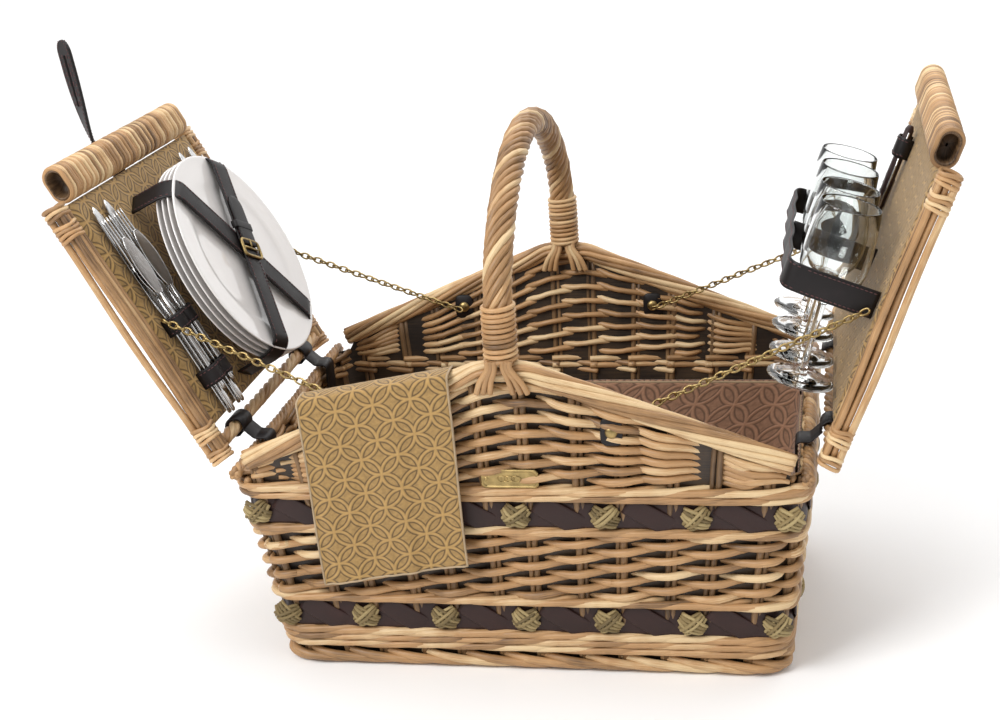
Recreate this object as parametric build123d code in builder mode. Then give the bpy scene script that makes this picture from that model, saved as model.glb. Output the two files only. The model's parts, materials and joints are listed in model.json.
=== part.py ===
"""Wicker picnic basket with two end-hinged lids, modelled open, in millimetres.

X runs along the basket, Y across it and Z up. The origin is the middle of the base, on the
ground. Each lid has its own plane: x runs from its hinge towards its free edge, and z points
out of its woven face. The lids stand open at rest, held by four chains.
"""

import os
from math import atan2, cos, radians, sin, tan

from build123d import *

# Basket
BASE_LENGTH = 478.0
BASE_WIDTH = 298.0
RIM_HEIGHT = 212.0  # where length and width are the two below
RIM_LENGTH = 530.0
RIM_WIDTH = 352.0
WALL = 10.0
PEAK = 329.0  # top of the long rims, before the flat under the handle
SLOPE = 0.4  # fall of the long rims from the middle to each end
RIM_DEPTH = 18.0
RIM_PROUD = 4.0  # the rim's overhang on each face of the wall
LONG_RIM_END = 247.0  # where the long rims stop, short of the corners
END_RIM_TOP = 214.0
END_RIM_DEPTH = 14.0
END_RIM_PROUD = 2.0
PEAK_FLAT = 20.0  # half-length of the flat that carries the handle
BASE_THICKNESS = 12.0
BANDS = {"upper": (156.0, 182.0), "lower": (42.0, 71.0)}
BAND_THICKNESS = 2.0
KNOT_RADIUS = 11.0
KNOT_HEIGHT = 6.0
KNOT_PITCH = {"upper": 81.0, "lower": 77.0}
LINER = 3.0
LINER_TOP = 175.0

# Handle
HANDLE_Y = 183.0
HANDLE_LEG_TOP = 350.0  # where the straight legs end
SHOULDER_RADIUS = 105.0
SHOULDER_TURN = 45.0
HANDLE_RADIUS = 13.5
BINDING_RADIUS = 15.0
BINDING_HEIGHT = 50.0
SPOKE_RADIUS = 3.0
SPOKE_DROP = 28.0

# Lids: lengths are measured from the rim's end along the lid, heights from its inner face
HINGE_X = 278.0
HINGE_Z = 228.6
HINGE_S = -10.0
HINGE_T = 7.0
LEAN = {"left": 28.0, "right": 21.0}  # from upright, when open
LID_END = 252.0
LID_TAIL = -25.0
PANEL_END = 247.0  # of the lining and the weave, where the roll begins
SIDE_BAR_OUT = 168.0
SIDE_BAR_IN = 148.0
SIDE_BAR_DEPTH = 20.0
LINING_START = 8.0
LINING = 4.0
WEAVE = 8.0
HINGE_BAR_RADIUS = 7.0
ROLL_RADIUS = 12.0
ROLL_S = 266.0
ROLL_T = 2.0
ROLL_SPREAD = 12.0  # between the centres of its two ends' arcs
STRAP_WIDTH = 26.0
LEATHER = 2.0
HINGE_STRAP_Y = 100.0
HINGE_GAP = 0.05

# What the lids carry
PLATE_RADIUS = 108.0
PLATE_S = 118.0
GLASS_STRAP_S = 118.0
PLATE_Y = 8.0
PLATE_PITCH = 6.5
PLATE_FIRST_T = -21.0
PLATE_COUNT = 4
PLATE_STRAP_TURN = 30.0
CUTLERY_Y = (-122.0, -96.0, 96.0, 122.0)
GLASS_Y = (-98.0, -36.0, 36.0, 98.0)
GLASS_FOOT_S = 22.0
GLASS_FOOT_T = -34.0
GLASS_TILT = 5.0
GLASS_HEIGHT = 165.0
GLASS_FOOT_RADIUS = 30.5

# Closure strap, in the left lid's plane but for its tip
STRAP_ROOT = (246.0, 0.0, 16.5)
STRAP_PAST_ROLL = (290.0, 0.0, 21.0)
STRAP_TIP = (-447.0, 583.0)
STRAP_THICKNESS = 3.0
SLOT_SHARE = 0.78  # how far up the closure strap its slot is
STRAP_TURNS = ((0.0, 0.0), (0.25, 28.0), (0.5, 44.0), (1.0, 50.0))  # share of its length, degrees

# Chains
CHAIN_X = {"left": -112.0, "right": 92.0}
CHAIN_Z = 255.0
CHAIN_WALL_Y = 158.0
CHAIN_LID_Y = 136.0
CHAIN_LID_S = 114.0
CHAIN_LID_T = -6.0
CHAIN_RADIUS = 3.0
CHAIN_GAP = 2.0  # left open at each end of a chain
CHAIN_MIDDLE_GAP = 8.0  # and at each side of its middle
CHAIN_TIP_RADIUS = 0.6  # each half thins to this at the middle, so that the two can fold together
CHAIN_TAPER = 40.0

# Napkin
NAPKIN_PIVOT = (-46.0, 311.2)
NAPKIN_WIDTH = 139.0
NAPKIN_DROP = 190.0
NAPKIN_THICKNESS = 1.4
NAPKIN_GAP = 4.0  # off the rim's faces
NAPKIN_INNER = 14.0  # how far it hangs inside
NAPKIN_TURN = 11.2  # it lies along the rim when turned back by this

SIDES = {"left": -1.0, "right": 1.0}
FACES = {"front": -1.0, "back": 1.0}
RISE = (RIM_LENGTH - BASE_LENGTH) / 2 / RIM_HEIGHT
SPREAD = (RIM_WIDTH - BASE_WIDTH) / 2 / RIM_HEIGHT

os.makedirs("parts", exist_ok=True)


def half_length(z):
    return BASE_LENGTH / 2 + RISE * z


def half_width(z):
    return BASE_WIDTH / 2 + SPREAD * z


def rim_line(x, below=0.0):
    return PEAK - SLOPE * abs(x) - below


def tapered(low, high, grow):
    """A block that follows the basket's outer faces, moved out by grow."""
    with BuildPart() as block:
        for z in (low, high):
            with BuildSketch(Plane.XY.offset(z)):
                Rectangle(2 * (half_length(z) + grow), 2 * (half_width(z) + grow))
        loft()
    return block.part


def gable(reach, bottom, below, flat=0.0):
    """Everything across the basket under its sloping rim line, out to x = reach each way."""
    top = rim_line(flat, below)
    end = rim_line(reach, below)
    with BuildPart(mode=Mode.PRIVATE) as prism:
        with BuildSketch(Plane.XZ):
            with BuildLine():
                ridge = [(flat, top), (-flat, top)] if flat else [(0, top)]
                Polyline((-reach, bottom), (reach, bottom), (reach, end), *ridge, (-reach, end), close=True)
            make_face()
        extrude(amount=400, both=True)
    return prism.part


def slab(low, high, half_x, half_y):
    return Pos(0, 0, (low + high) / 2) * Box(2 * half_x, 2 * half_y, high - low)


def lid_plane(side, lean):
    """A lid's plane, with its origin on the rim's end at the lid's inner face."""
    way = SIDES[side]
    along = Vector(way * sin(radians(lean)), 0, cos(radians(lean)))
    out = Vector(way * cos(radians(lean)), 0, -sin(radians(lean)))
    hinge = Vector(way * HINGE_X, 0, HINGE_Z)
    return Plane(hinge - along * HINGE_S - out * HINGE_T, x_dir=along, z_dir=out)


LID_PLANES = {side: lid_plane(side, LEAN[side]) for side in SIDES}
FLIP = {"left": 1.0, "right": -1.0}  # a lid plane's y against the basket's Y

# Walls: a tapered shell under the sloping rims, cut into four panels with recessed bands
inside = tapered(-20, 340, -WALL)
shell = tapered(0, 330, 0) - inside
shell = shell & (
    gable(LONG_RIM_END, 0, RIM_DEPTH, PEAK_FLAT) + slab(0, END_RIM_TOP - END_RIM_DEPTH, 400, 400)
)
bands = {}
for band, (low, high) in BANDS.items():
    ring = tapered(low, high, 0) - tapered(low - 1, high + 1, -2 * BAND_THICKNESS)
    shell = shell - ring
    bands[band] = tapered(low, high, -BAND_THICKNESS) - tapered(low - 1, high + 1, -2 * BAND_THICKNESS)

# the end walls lie between the two long ones
end_zone = loft([
    Plane.XY.offset(z) * Rectangle(1200, 2 * (half_width(z) - WALL)) for z in (-20, 340)
])
for face, way in FACES.items():
    with BuildPart() as wall:
        add(shell - end_zone)
        split(bisect_by=Plane.XZ, keep=Keep.TOP if way < 0 else Keep.BOTTOM)
    wall.part.label = f"wall_{face}"
    export_step(wall.part, f"parts/wall_{face}.step")
for side, way in SIDES.items():
    with BuildPart() as wall:
        add(shell & end_zone)
        split(bisect_by=Plane.YZ, keep=Keep.TOP if way > 0 else Keep.BOTTOM)
    wall.part.label = f"wall_{side}"
    export_step(wall.part, f"parts/wall_{side}.step")

for band, ring in bands.items():
    ring.label = f"leather_band_{band}"
    export_step(ring, f"parts/leather_band_{band}.step")

with BuildPart() as base_panel:
    add(tapered(0, BASE_THICKNESS, -WALL))
base_panel.part.label = "base_panel"
export_step(base_panel.part, "parts/base_panel.step")

# Rims: the long ones follow the slope, the end ones are low so that the lids can turn
long_rims = tapered(150, 335, RIM_PROUD) - tapered(140, 345, -WALL - RIM_PROUD)
long_rims = long_rims & (gable(LONG_RIM_END, 0, 0, PEAK_FLAT) - gable(400, -10, RIM_DEPTH, PEAK_FLAT))
end_rims = tapered(150, 335, END_RIM_PROUD) - tapered(140, 345, -WALL - RIM_PROUD)
end_rims = end_rims & slab(END_RIM_TOP - END_RIM_DEPTH, END_RIM_TOP, 400, 400)
end_rims = end_rims - slab(0, 400, LONG_RIM_END, 400)
for face, way in FACES.items():
    with BuildPart() as rim:
        add(long_rims)
        split(bisect_by=Plane.XZ, keep=Keep.TOP if way < 0 else Keep.BOTTOM)
    rim.part.label = f"rim_{face}"
    export_step(rim.part, f"parts/rim_{face}.step")
for side, way in SIDES.items():
    with BuildPart() as rim:
        add(end_rims)
        split(bisect_by=Plane.YZ, keep=Keep.TOP if way > 0 else Keep.BOTTOM)
    rim.part.label = f"rim_{side}"
    export_step(rim.part, f"parts/rim_{side}.step")


def wall_plane(face, grow):
    """The outer face of a long wall, moved out by grow: x along the basket, y up the wall."""
    way = FACES[face]
    lean = atan2(SPREAD, 1)
    out = Vector(0, way * cos(lean), -sin(lean))
    start = Vector(0, way * (BASE_WIDTH / 2 + grow), 0)
    return Plane(start, x_dir=(-way, 0, 0), z_dir=out)


def end_plane(side, grow):
    """The outer face of an end wall, moved out by grow: x across the basket, y up the wall."""
    way = SIDES[side]
    lean = atan2(RISE, 1)
    out = Vector(way * cos(lean), 0, -sin(lean))
    start = Vector(way * (BASE_LENGTH / 2 + grow), 0, 0)
    return Plane(start, x_dir=(0, way, 0), z_dir=out)


# Seagrass knots sit on the leather bands
for band, (low, high) in BANDS.items():
    pitch = KNOT_PITCH[band]
    up = (low + high) / 2
    with BuildPart() as knots:
        for face in FACES:
            with BuildSketch(wall_plane(face, -BAND_THICKNESS)):
                with Locations((0, up / cos(atan2(SPREAD, 1)))):
                    with GridLocations(pitch, 1, 7, 1):
                        Circle(KNOT_RADIUS)
            extrude(amount=KNOT_HEIGHT)
        for side in SIDES:
            with BuildSketch(end_plane(side, -BAND_THICKNESS)):
                with Locations((0, up / cos(atan2(RISE, 1)))):
                    with GridLocations(pitch, 1, 3, 1):
                        Circle(KNOT_RADIUS)
            extrude(amount=KNOT_HEIGHT)
    knots.part.label = f"seagrass_knots_{band}"
    export_step(knots.part, f"parts/seagrass_knots_{band}.step")

with BuildPart() as name_plate:
    with BuildSketch(wall_plane("front", 0)):
        with Locations((-2, 209)):
            RectangleRounded(52, 19, 2)
    extrude(amount=1.5)
name_plate.part.label = "name_plate"
export_step(name_plate.part, "parts/name_plate.step")

# Liner pouch in the right half
liner_out = -WALL - 0.3
liner_block = tapered(BASE_THICKNESS, LINER_TOP, liner_out)
liner_core = tapered(BASE_THICKNESS + LINER, LINER_TOP + 5, liner_out - LINER)
right_half = Pos(200, 0, 0) * Box(400, 600, 1000)
liner_core = liner_core & (Pos(200 + LINER, 0, 0) * Box(400, 600, 1000))
with BuildPart() as liner:
    add((liner_block & right_half) - liner_core)
liner.part.label = "liner_pouch"
export_step(liner.part, "parts/liner_pouch.step")

# Handle: a bent bundle on the peaks of the long rims, bound at each foot
seat = rim_line(PEAK_FLAT)
with BuildPart() as handle:
    with BuildLine(Plane.YZ) as arch:
        leg = Line((-HANDLE_Y, seat), (-HANDLE_Y, HANDLE_LEG_TOP))
        shoulder = JernArc(leg @ 1, leg % 1, SHOULDER_RADIUS, -SHOULDER_TURN)
        top_radius = -(shoulder @ 1).Y / sin(radians(90 - SHOULDER_TURN))
        crown = JernArc(shoulder @ 1, shoulder % 1, top_radius, 2 * SHOULDER_TURN - 180)
        far_shoulder = JernArc(crown @ 1, crown % 1, SHOULDER_RADIUS, -SHOULDER_TURN)
        Line(far_shoulder @ 1, (HANDLE_Y, seat))
    with BuildSketch(Plane(arch.line @ 0, z_dir=arch.line % 0)):
        Circle(HANDLE_RADIUS)
    sweep()
    split(bisect_by=Plane.XY.offset(seat), keep=Keep.TOP)
handle.part.label = "handle_arch"
export_step(handle.part, "parts/handle_arch.step")

with BuildPart() as bindings:
    for way in FACES.values():
        with Locations((0, way * HANDLE_Y, seat)):
            Cylinder(BINDING_RADIUS, BINDING_HEIGHT, align=(Align.CENTER, Align.CENTER, Align.MIN))
    add(handle.part, mode=Mode.SUBTRACT)
    split(bisect_by=Plane.XY.offset(seat), keep=Keep.TOP)
bindings.part.label = "handle_bindings"
export_step(bindings.part, "parts/handle_bindings.step")

with BuildPart() as spokes:
    for face in FACES:
        for start, end in ((-10, -22), (-4, -10), (4, 10), (10, 22)):
            with BuildLine(wall_plane(face, RIM_PROUD + SPOKE_RADIUS + 0.3)) as cane:
                Line((start, seat - 2), (end, seat - SPOKE_DROP))
            with BuildSketch(Plane(cane.line @ 0, z_dir=cane.line % 0)):
                Circle(SPOKE_RADIUS)
            sweep()
spokes.part.label = "handle_spokes"
export_step(spokes.part, "parts/handle_spokes.step")

# Chain anchors: a leather patch and a ring inside each long wall, and a stud outside it
lift = CHAIN_Z / cos(atan2(SPREAD, 1))
with BuildPart() as anchors:
    for face, way in FACES.items():
        for grow, radius, depth in ((-WALL, 9, -2), (-WALL, 3, -8), (0, 5, 2.6)):
            with BuildSketch(wall_plane(face, grow)):
                with Locations(*[(-way * x, lift) for x in CHAIN_X.values()]):
                    Circle(radius)
            extrude(amount=depth)
anchors.part.label = "chain_anchors"
export_step(anchors.part, "parts/chain_anchors.step")

# Hinge straps: leather loops round each lid's bottom bar, held on the end rims
for side, way in SIDES.items():
    with BuildPart() as straps:
        for y in (-HINGE_STRAP_Y, HINGE_STRAP_Y):
            with Locations((way * 263.7, y, END_RIM_TOP + 3.6)):
                Box(34.6, STRAP_WIDTH, 2.4)
            with Locations((way * 247.4, y, 202)):
                Box(LEATHER, STRAP_WIDTH, 34)
            with Locations(Location((way * HINGE_X, y, HINGE_Z), (90, 0, 0))):
                Cylinder(HINGE_BAR_RADIUS + 3.5, STRAP_WIDTH)
        with Locations(Location((way * HINGE_X, 0, HINGE_Z), (90, 0, 0))):
            Cylinder(HINGE_BAR_RADIUS + HINGE_GAP, 400, mode=Mode.SUBTRACT)
    straps.part.label = f"hinge_straps_{side}"
    export_step(straps.part, f"parts/hinge_straps_{side}.step")

# Lids
bar_mid = (SIDE_BAR_OUT + SIDE_BAR_IN) / 2
for side in SIDES:
    plane = LID_PLANES[side]
    with BuildPart(plane) as bars:
        with Locations(
            *[((LID_END + LID_TAIL) / 2, way * bar_mid, SIDE_BAR_DEPTH / 2) for way in FACES.values()]
        ):
            Box(LID_END - LID_TAIL, SIDE_BAR_OUT - SIDE_BAR_IN, SIDE_BAR_DEPTH)
        fillet(bars.edges().filter_by(Axis(plane.origin, plane.x_dir)), 8)
    bars.part.label = f"lid_{side}_bars"
    export_step(bars.part, f"parts/lid_{side}_bars.step")

    with BuildPart(plane) as lining:
        with Locations(((LINING_START + PANEL_END) / 2, 0, LINING / 2)):
            Box(PANEL_END - LINING_START, 2 * SIDE_BAR_IN, LINING)
    lining.part.label = f"lid_{side}_lining"
    export_step(lining.part, f"parts/lid_{side}_lining.step")

    with BuildPart(plane) as weave:
        with Locations(((LINING_START + PANEL_END) / 2, 0, LINING + WEAVE / 2)):
            Box(PANEL_END - LINING_START, 2 * SIDE_BAR_IN, WEAVE)
    weave.part.label = f"lid_{side}_weave"
    export_step(weave.part, f"parts/lid_{side}_weave.step")

    across = Plane(plane.from_local_coords((HINGE_S, 0, HINGE_T)), x_dir=plane.x_dir, z_dir=plane.y_dir)
    with BuildPart() as hinge_bar:
        with BuildSketch(across):
            Circle(HINGE_BAR_RADIUS)
        extrude(amount=SIDE_BAR_IN, both=True)
    hinge_bar.part.label = f"lid_{side}_hinge_bar"
    export_step(hinge_bar.part, f"parts/lid_{side}_hinge_bar.step")

    roll_at = Plane(plane.from_local_coords((ROLL_S, 0, ROLL_T)), x_dir=plane.x_dir, z_dir=plane.y_dir)
    with BuildPart() as roll:
        with BuildSketch(roll_at):
            SlotCenterToCenter(ROLL_SPREAD, 2 * ROLL_RADIUS)
        extrude(amount=SIDE_BAR_IN - 4, both=True)
    roll.part.label = f"lid_{side}_roll"
    export_step(roll.part, f"parts/lid_{side}_roll.step")

# Plates and what holds them, on the left lid
left = LID_PLANES["left"]
for count in range(PLATE_COUNT):
    level = PLATE_FIRST_T - PLATE_PITCH * count
    dish = Plane(left.from_local_coords((PLATE_S, PLATE_Y, level)), x_dir=left.x_dir, z_dir=-left.z_dir)
    with BuildPart() as plate:
        with BuildSketch(dish):
            Circle(PLATE_RADIUS)
        extrude(amount=6)
        chamfer(plate.edges().sort_by(Axis(dish.origin, dish.z_dir))[0], 4)
        with BuildSketch(dish.offset(6)):
            Circle(PLATE_RADIUS - 30)
        extrude(amount=-2, mode=Mode.SUBTRACT)
    plate.part.label = f"plate_{count + 1}"
    export_step(plate.part, f"parts/plate_{count + 1}.step")


# Two leather straps cross over the plates, one above the other, with a buckle on top
plate_top = PLATE_FIRST_T - PLATE_PITCH * (PLATE_COUNT - 1) - 6
strap_reach = PLATE_RADIUS + 4
for name, turn, lift in (("lower", -PLATE_STRAP_TURN, 1.0), ("upper", PLATE_STRAP_TURN, 4.0)):
    centre = Plane(left.from_local_coords((PLATE_S, PLATE_Y, 0)), x_dir=left.x_dir, z_dir=left.z_dir)
    with BuildPart(centre) as strap:
        with Locations(Location((0, 0, plate_top - lift - LEATHER / 2), (0, 0, turn))):
            Box(2 * strap_reach, STRAP_WIDTH, LEATHER)
        for end in (-1, 1):
            away = Rotation(0, 0, turn) * Pos(end * (strap_reach - LEATHER / 2), 0, (plate_top - lift) / 2)
            with Locations(away):
                Box(LEATHER, STRAP_WIDTH, lift - plate_top)
    strap.part.label = f"plate_strap_{name}"
    export_step(strap.part, f"parts/plate_strap_{name}.step")

buckle_at = left.from_local_coords((PLATE_S, PLATE_Y, plate_top - 4 - LEATHER - 1.7))
with BuildPart(Plane(buckle_at, x_dir=left.x_dir, z_dir=left.z_dir)) as buckle:
    with Locations(Location((0, 0, 0), (0, 0, PLATE_STRAP_TURN))):
        Box(22, 34, 3)
        Box(15, 27, 3, mode=Mode.SUBTRACT)
        Box(22, 2.5, 3)
buckle.part.label = "plate_buckle"
export_step(buckle.part, "parts/plate_buckle.step")

# Cutlery: a knife, a fork and a spoon in each of four columns
CUTLERY = {  # level over the lining, start along the lid, handle length, head length, head width
    "knives": (-4.0, 6.0, 110.0, 118.0, 15.0),
    "forks": (-8.5, 6.0, 128.0, 86.0, 22.0),
    "spoons": (-13.0, 28.0, 108.0, 62.0, 24.0),
}
for kind, (level, start, handle_length, head_length, head_width) in CUTLERY.items():
    with BuildPart(left) as set_of_four:
        for y in CUTLERY_Y:
            with Locations((start + handle_length / 2, y, level)):
                Box(handle_length, 9, 2.6)
            with Locations((start + handle_length + head_length / 2, y, level)):
                Box(head_length, head_width, 1.8)
    set_of_four.part.label = kind
    export_step(set_of_four.part, f"parts/{kind}.step")

with BuildPart(left) as loops:
    for s in (46, 104):
        for middle in (-109, 109):
            with Locations((s, middle, -9)):
                Box(18, 44, 18)
                Box(18, 40, 14.6, mode=Mode.SUBTRACT)
loops.part.label = "cutlery_loops"
export_step(loops.part, "parts/cutlery_loops.step")

# Closure strap: from behind the left lid's roll it bends upright and turns half towards the front
root = left.from_local_coords(STRAP_ROOT)
past_roll = left.from_local_coords(STRAP_PAST_ROLL)
with BuildLine(Plane.XZ) as spine:
    ThreePointArc((root.X, root.Z), (past_roll.X, past_roll.Z), STRAP_TIP)
with BuildPart() as closure:
    for share, turn in STRAP_TURNS:
        with BuildSketch(
            Plane(spine.line @ share, x_dir=(0, 1, 0), z_dir=spine.line % share).rotated((0, 0, turn))
        ):
            Rectangle(STRAP_WIDTH, STRAP_THICKNESS)
    loft()
    slot_at = Plane(
        spine.line @ SLOT_SHARE, x_dir=(0, 1, 0), z_dir=spine.line % SLOT_SHARE
    ).rotated((0, 0, STRAP_TURNS[-1][1]))
    with BuildSketch(slot_at):
        Rectangle(5, 20)
    extrude(amount=14, both=True, mode=Mode.SUBTRACT)
closure.part.label = "closure_strap"
export_step(closure.part, "parts/closure_strap.step")

# Wine glasses, on the right lid
right = LID_PLANES["right"]
for count, y in enumerate(GLASS_Y):
    base = right.from_local_coords((GLASS_FOOT_S, FLIP["right"] * y, GLASS_FOOT_T))
    stem = right.x_dir.rotate(Axis((0, 0, 0), (0, 1, 0)), -GLASS_TILT)
    with BuildPart() as glass:
        with BuildSketch(Plane(base, x_dir=(0, 1, 0), z_dir=Vector(0, 1, 0).cross(stem))) as section:
            with BuildLine() as outline:
                Polyline((0, 0), (GLASS_FOOT_RADIUS, 0), (GLASS_FOOT_RADIUS, 1.5), (6, 5), (3.5, 12))
                Line((3.5, 12), (3.5, 72))
                Spline((3.5, 72), (22, 84), (30.5, 112), (27, GLASS_HEIGHT))
                Line((27, GLASS_HEIGHT), (25.4, GLASS_HEIGHT))
                Spline((25.4, GLASS_HEIGHT), (28.8, 112), (20, 87), (0, 76))
                Line((0, 76), (0, 0))
            make_face()
        revolve(axis=Axis(base, stem))
    glass.part.label = f"wine_glass_{count + 1}"
    export_step(glass.part, f"parts/wine_glass_{count + 1}.step")

STRAP_FACE = -83.0
with BuildPart(right) as glass_strap:
    with Locations((GLASS_STRAP_S, 0, STRAP_FACE)):
        Box(STRAP_WIDTH, 262, LEATHER)
    for y in (-130, 0, 130):
        with Locations((GLASS_STRAP_S, y, STRAP_FACE / 2)):
            Box(STRAP_WIDTH, LEATHER, -STRAP_FACE)
glass_strap.part.label = "glass_strap"
export_step(glass_strap.part, "parts/glass_strap.step")

cork_y = FLIP["right"] * 67
with BuildPart(right) as corkscrew:
    with Locations((187, cork_y, -7.7)):
        Box(96, 15, 10)
    fillet(corkscrew.edges().filter_by(Axis(right.origin, right.x_dir)), 3)
corkscrew.part.label = "corkscrew"
export_step(corkscrew.part, "parts/corkscrew.step")

with BuildPart(right) as cork_loop:
    with Locations((214, cork_y, -7.6)):
        Box(20, 20, 15.2)
        Box(20, 15.6, 10.6, mode=Mode.SUBTRACT)
cork_loop.part.label = "corkscrew_loop"
export_step(cork_loop.part, "parts/corkscrew_loop.step")

with BuildPart(right) as post:
    with Locations((212, 0, LINING + WEAVE + 1)):
        Box(30, 22, 2)
    with Locations((212, 0, LINING + WEAVE + 5)):
        Cylinder(3, 6)
    with Locations((212, 0, LINING + WEAVE + 9)):
        Box(6, 18, 3)
post.part.label = "closure_post"
export_step(post.part, "parts/closure_post.step")

# Chains: each is two straight halves, which meet at its middle
for side, way in SIDES.items():
    for face, across in FACES.items():
        low = Vector(CHAIN_X[side], across * CHAIN_WALL_Y, CHAIN_Z)
        high = LID_PLANES[side].from_local_coords(
            (CHAIN_LID_S, FLIP[side] * across * CHAIN_LID_Y, CHAIN_LID_T)
        )
        along = (high - low).normalized()
        halves = {"wall": (low + along * CHAIN_GAP, along), "lid": (high - along * CHAIN_GAP, -along)}
        length = (high - low).length / 2 - CHAIN_GAP - CHAIN_MIDDLE_GAP
        for half, (start, towards_middle) in halves.items():
            with BuildPart(Plane(start, z_dir=towards_middle)) as chain:
                Cylinder(
                    CHAIN_RADIUS, length - CHAIN_TAPER, align=(Align.CENTER, Align.CENTER, Align.MIN)
                )
                with Locations((0, 0, length - CHAIN_TAPER)):
                    Cone(
                        CHAIN_RADIUS, CHAIN_TIP_RADIUS, CHAIN_TAPER, align=(Align.CENTER, Align.CENTER, Align.MIN)
                    )
            chain.part.label = f"chain_{side}_{face}_{half}"
            export_step(chain.part, f"parts/chain_{side}_{face}_{half}.step")
        print(side, face, "chain", round((high - low).length, 1), "low", low, "high", high)

# Napkin: shaped along the rim, then turned up by the chain under its outer corner
pivot_x, pivot_z = NAPKIN_PIVOT


def over_rim(off_face, off_top):
    """The long walls and rims, grown by one clearance sideways and another upwards."""
    reach = RIM_PROUD + off_face
    return (tapered(50, 370, reach) - tapered(40, 380, -WALL - reach)) & gable(400, 50, -off_top)


top_gap = 0.5
skin = over_rim(NAPKIN_GAP + NAPKIN_THICKNESS, top_gap + NAPKIN_THICKNESS) - over_rim(NAPKIN_GAP, top_gap)
skin = skin - (tapered(30, 390, -WALL) & gable(400, 30, NAPKIN_INNER))
turn = Pos(pivot_x, 0, pivot_z) * Rotation(0, NAPKIN_TURN, 0) * Pos(-pivot_x, 0, -pivot_z)
fall = tan(atan2(SLOPE, 1) - radians(NAPKIN_TURN)) * NAPKIN_WIDTH
with BuildPart() as napkin:
    add(turn * skin)
    with BuildSketch(Plane.XZ):
        with BuildLine():
            Polyline(
                (pivot_x, pivot_z - NAPKIN_DROP),
                (pivot_x, pivot_z + 20),
                (pivot_x - NAPKIN_WIDTH, pivot_z + 20),
                (pivot_x - NAPKIN_WIDTH, pivot_z - NAPKIN_DROP - fall),
                close=True,
            )
        make_face()
    extrude(amount=260, mode=Mode.INTERSECT)
napkin.part.label = "napkin"
export_step(napkin.part, "parts/napkin.step")
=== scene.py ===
"""Wicker picnic basket: woven willow, leather, cloth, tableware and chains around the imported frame."""

import json
import math
import random
from math import copysign, cos, pi, radians, sin, sqrt

import bmesh
import bpy
from bpy.props import FloatProperty, FloatVectorProperty, IntProperty, PointerProperty
from mathutils import Matrix, Vector, noise


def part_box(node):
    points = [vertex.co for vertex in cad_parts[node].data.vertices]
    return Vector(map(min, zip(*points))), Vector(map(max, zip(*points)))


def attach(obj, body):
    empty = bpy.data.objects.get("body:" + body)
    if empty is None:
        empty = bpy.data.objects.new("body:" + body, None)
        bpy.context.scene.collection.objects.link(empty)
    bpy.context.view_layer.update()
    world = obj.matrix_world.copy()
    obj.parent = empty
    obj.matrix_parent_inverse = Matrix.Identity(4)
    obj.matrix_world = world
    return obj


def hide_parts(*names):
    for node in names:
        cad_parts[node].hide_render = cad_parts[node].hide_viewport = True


bl_info = {
    "name": "Wicker Picnic Basket",
    "version": (1, 0, 0),
    "blender": (4, 5, 0),
    "location": "View3D > Sidebar > Basket",
    "description": "Builds the basket's weave, leather, cloth, tableware and chains on its frame",
    "category": "Add Mesh",
}

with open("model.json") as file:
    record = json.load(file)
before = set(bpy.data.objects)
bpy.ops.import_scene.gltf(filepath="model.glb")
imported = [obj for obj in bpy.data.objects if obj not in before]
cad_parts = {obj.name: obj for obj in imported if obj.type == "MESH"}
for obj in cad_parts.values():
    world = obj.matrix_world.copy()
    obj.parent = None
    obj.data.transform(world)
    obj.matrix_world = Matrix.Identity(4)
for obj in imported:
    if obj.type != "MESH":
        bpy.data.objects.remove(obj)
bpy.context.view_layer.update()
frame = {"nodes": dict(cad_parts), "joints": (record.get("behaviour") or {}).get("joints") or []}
MM = 0.001
STUD_X = {"left": -0.112, "right": 0.092}  # where each chain is pinned to the wall
STUD_Z = 0.255
CUTLERY_Y = (-0.122, -0.096, 0.096, 0.122)
LOOP_S = (0.046, 0.104)  # how far up the lid the cutlery loops are
GLASS_STRAP_S = 0.118
PLATE_CENTRE = (0.118, 0.008)  # up the lid, across it
LINK_HALF_WIDTH = 0.0028

# The basket's own geometry, read from the frame where it can be
BASE_HALF = (0.239, 0.149)  # half length and half width at the ground
LEAN_OUT = (0.026 / 0.212, 0.027 / 0.212)  # how fast each grows with height
PEAK = 0.329
SLOPE = 0.4
BANDS = {"upper": (0.156, 0.182), "lower": (0.042, 0.071)}
END_RIM_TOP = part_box("rim_left")[1].z
HANDLE_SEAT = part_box("handle_bindings")[0].z
WALL = 0.010
JOINTS = {joint["name"]: joint for joint in frame["joints"]}
LEAN = {"left": 28.0, "right": 21.0}
WAY = {"left": -1.0, "right": 1.0}
FACES = {"front": -1.0, "back": 1.0}


class BasketSizes(bpy.types.PropertyGroup):
    rod: FloatProperty(name="Rod", description="Weaving rod radius", default=3.6 * MM, unit="LENGTH")
    row: FloatProperty(name="Row", description="Height of one weaving row", default=7.7 * MM, unit="LENGTH")
    stake: FloatProperty(name="Stake", description="Stake radius", default=3.3 * MM, unit="LENGTH")
    stakes: IntProperty(name="Stakes", description="Upright stakes round the basket", default=40, min=12)
    wire: FloatProperty(name="Chain wire", description="Chain wire radius", default=0.95 * MM, unit="LENGTH")
    link: FloatProperty(name="Chain link", description="Pitch of the chain", default=7.4 * MM, unit="LENGTH")
    seed: IntProperty(name="Seed", description="Seed of every random draw", default=7)


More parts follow.
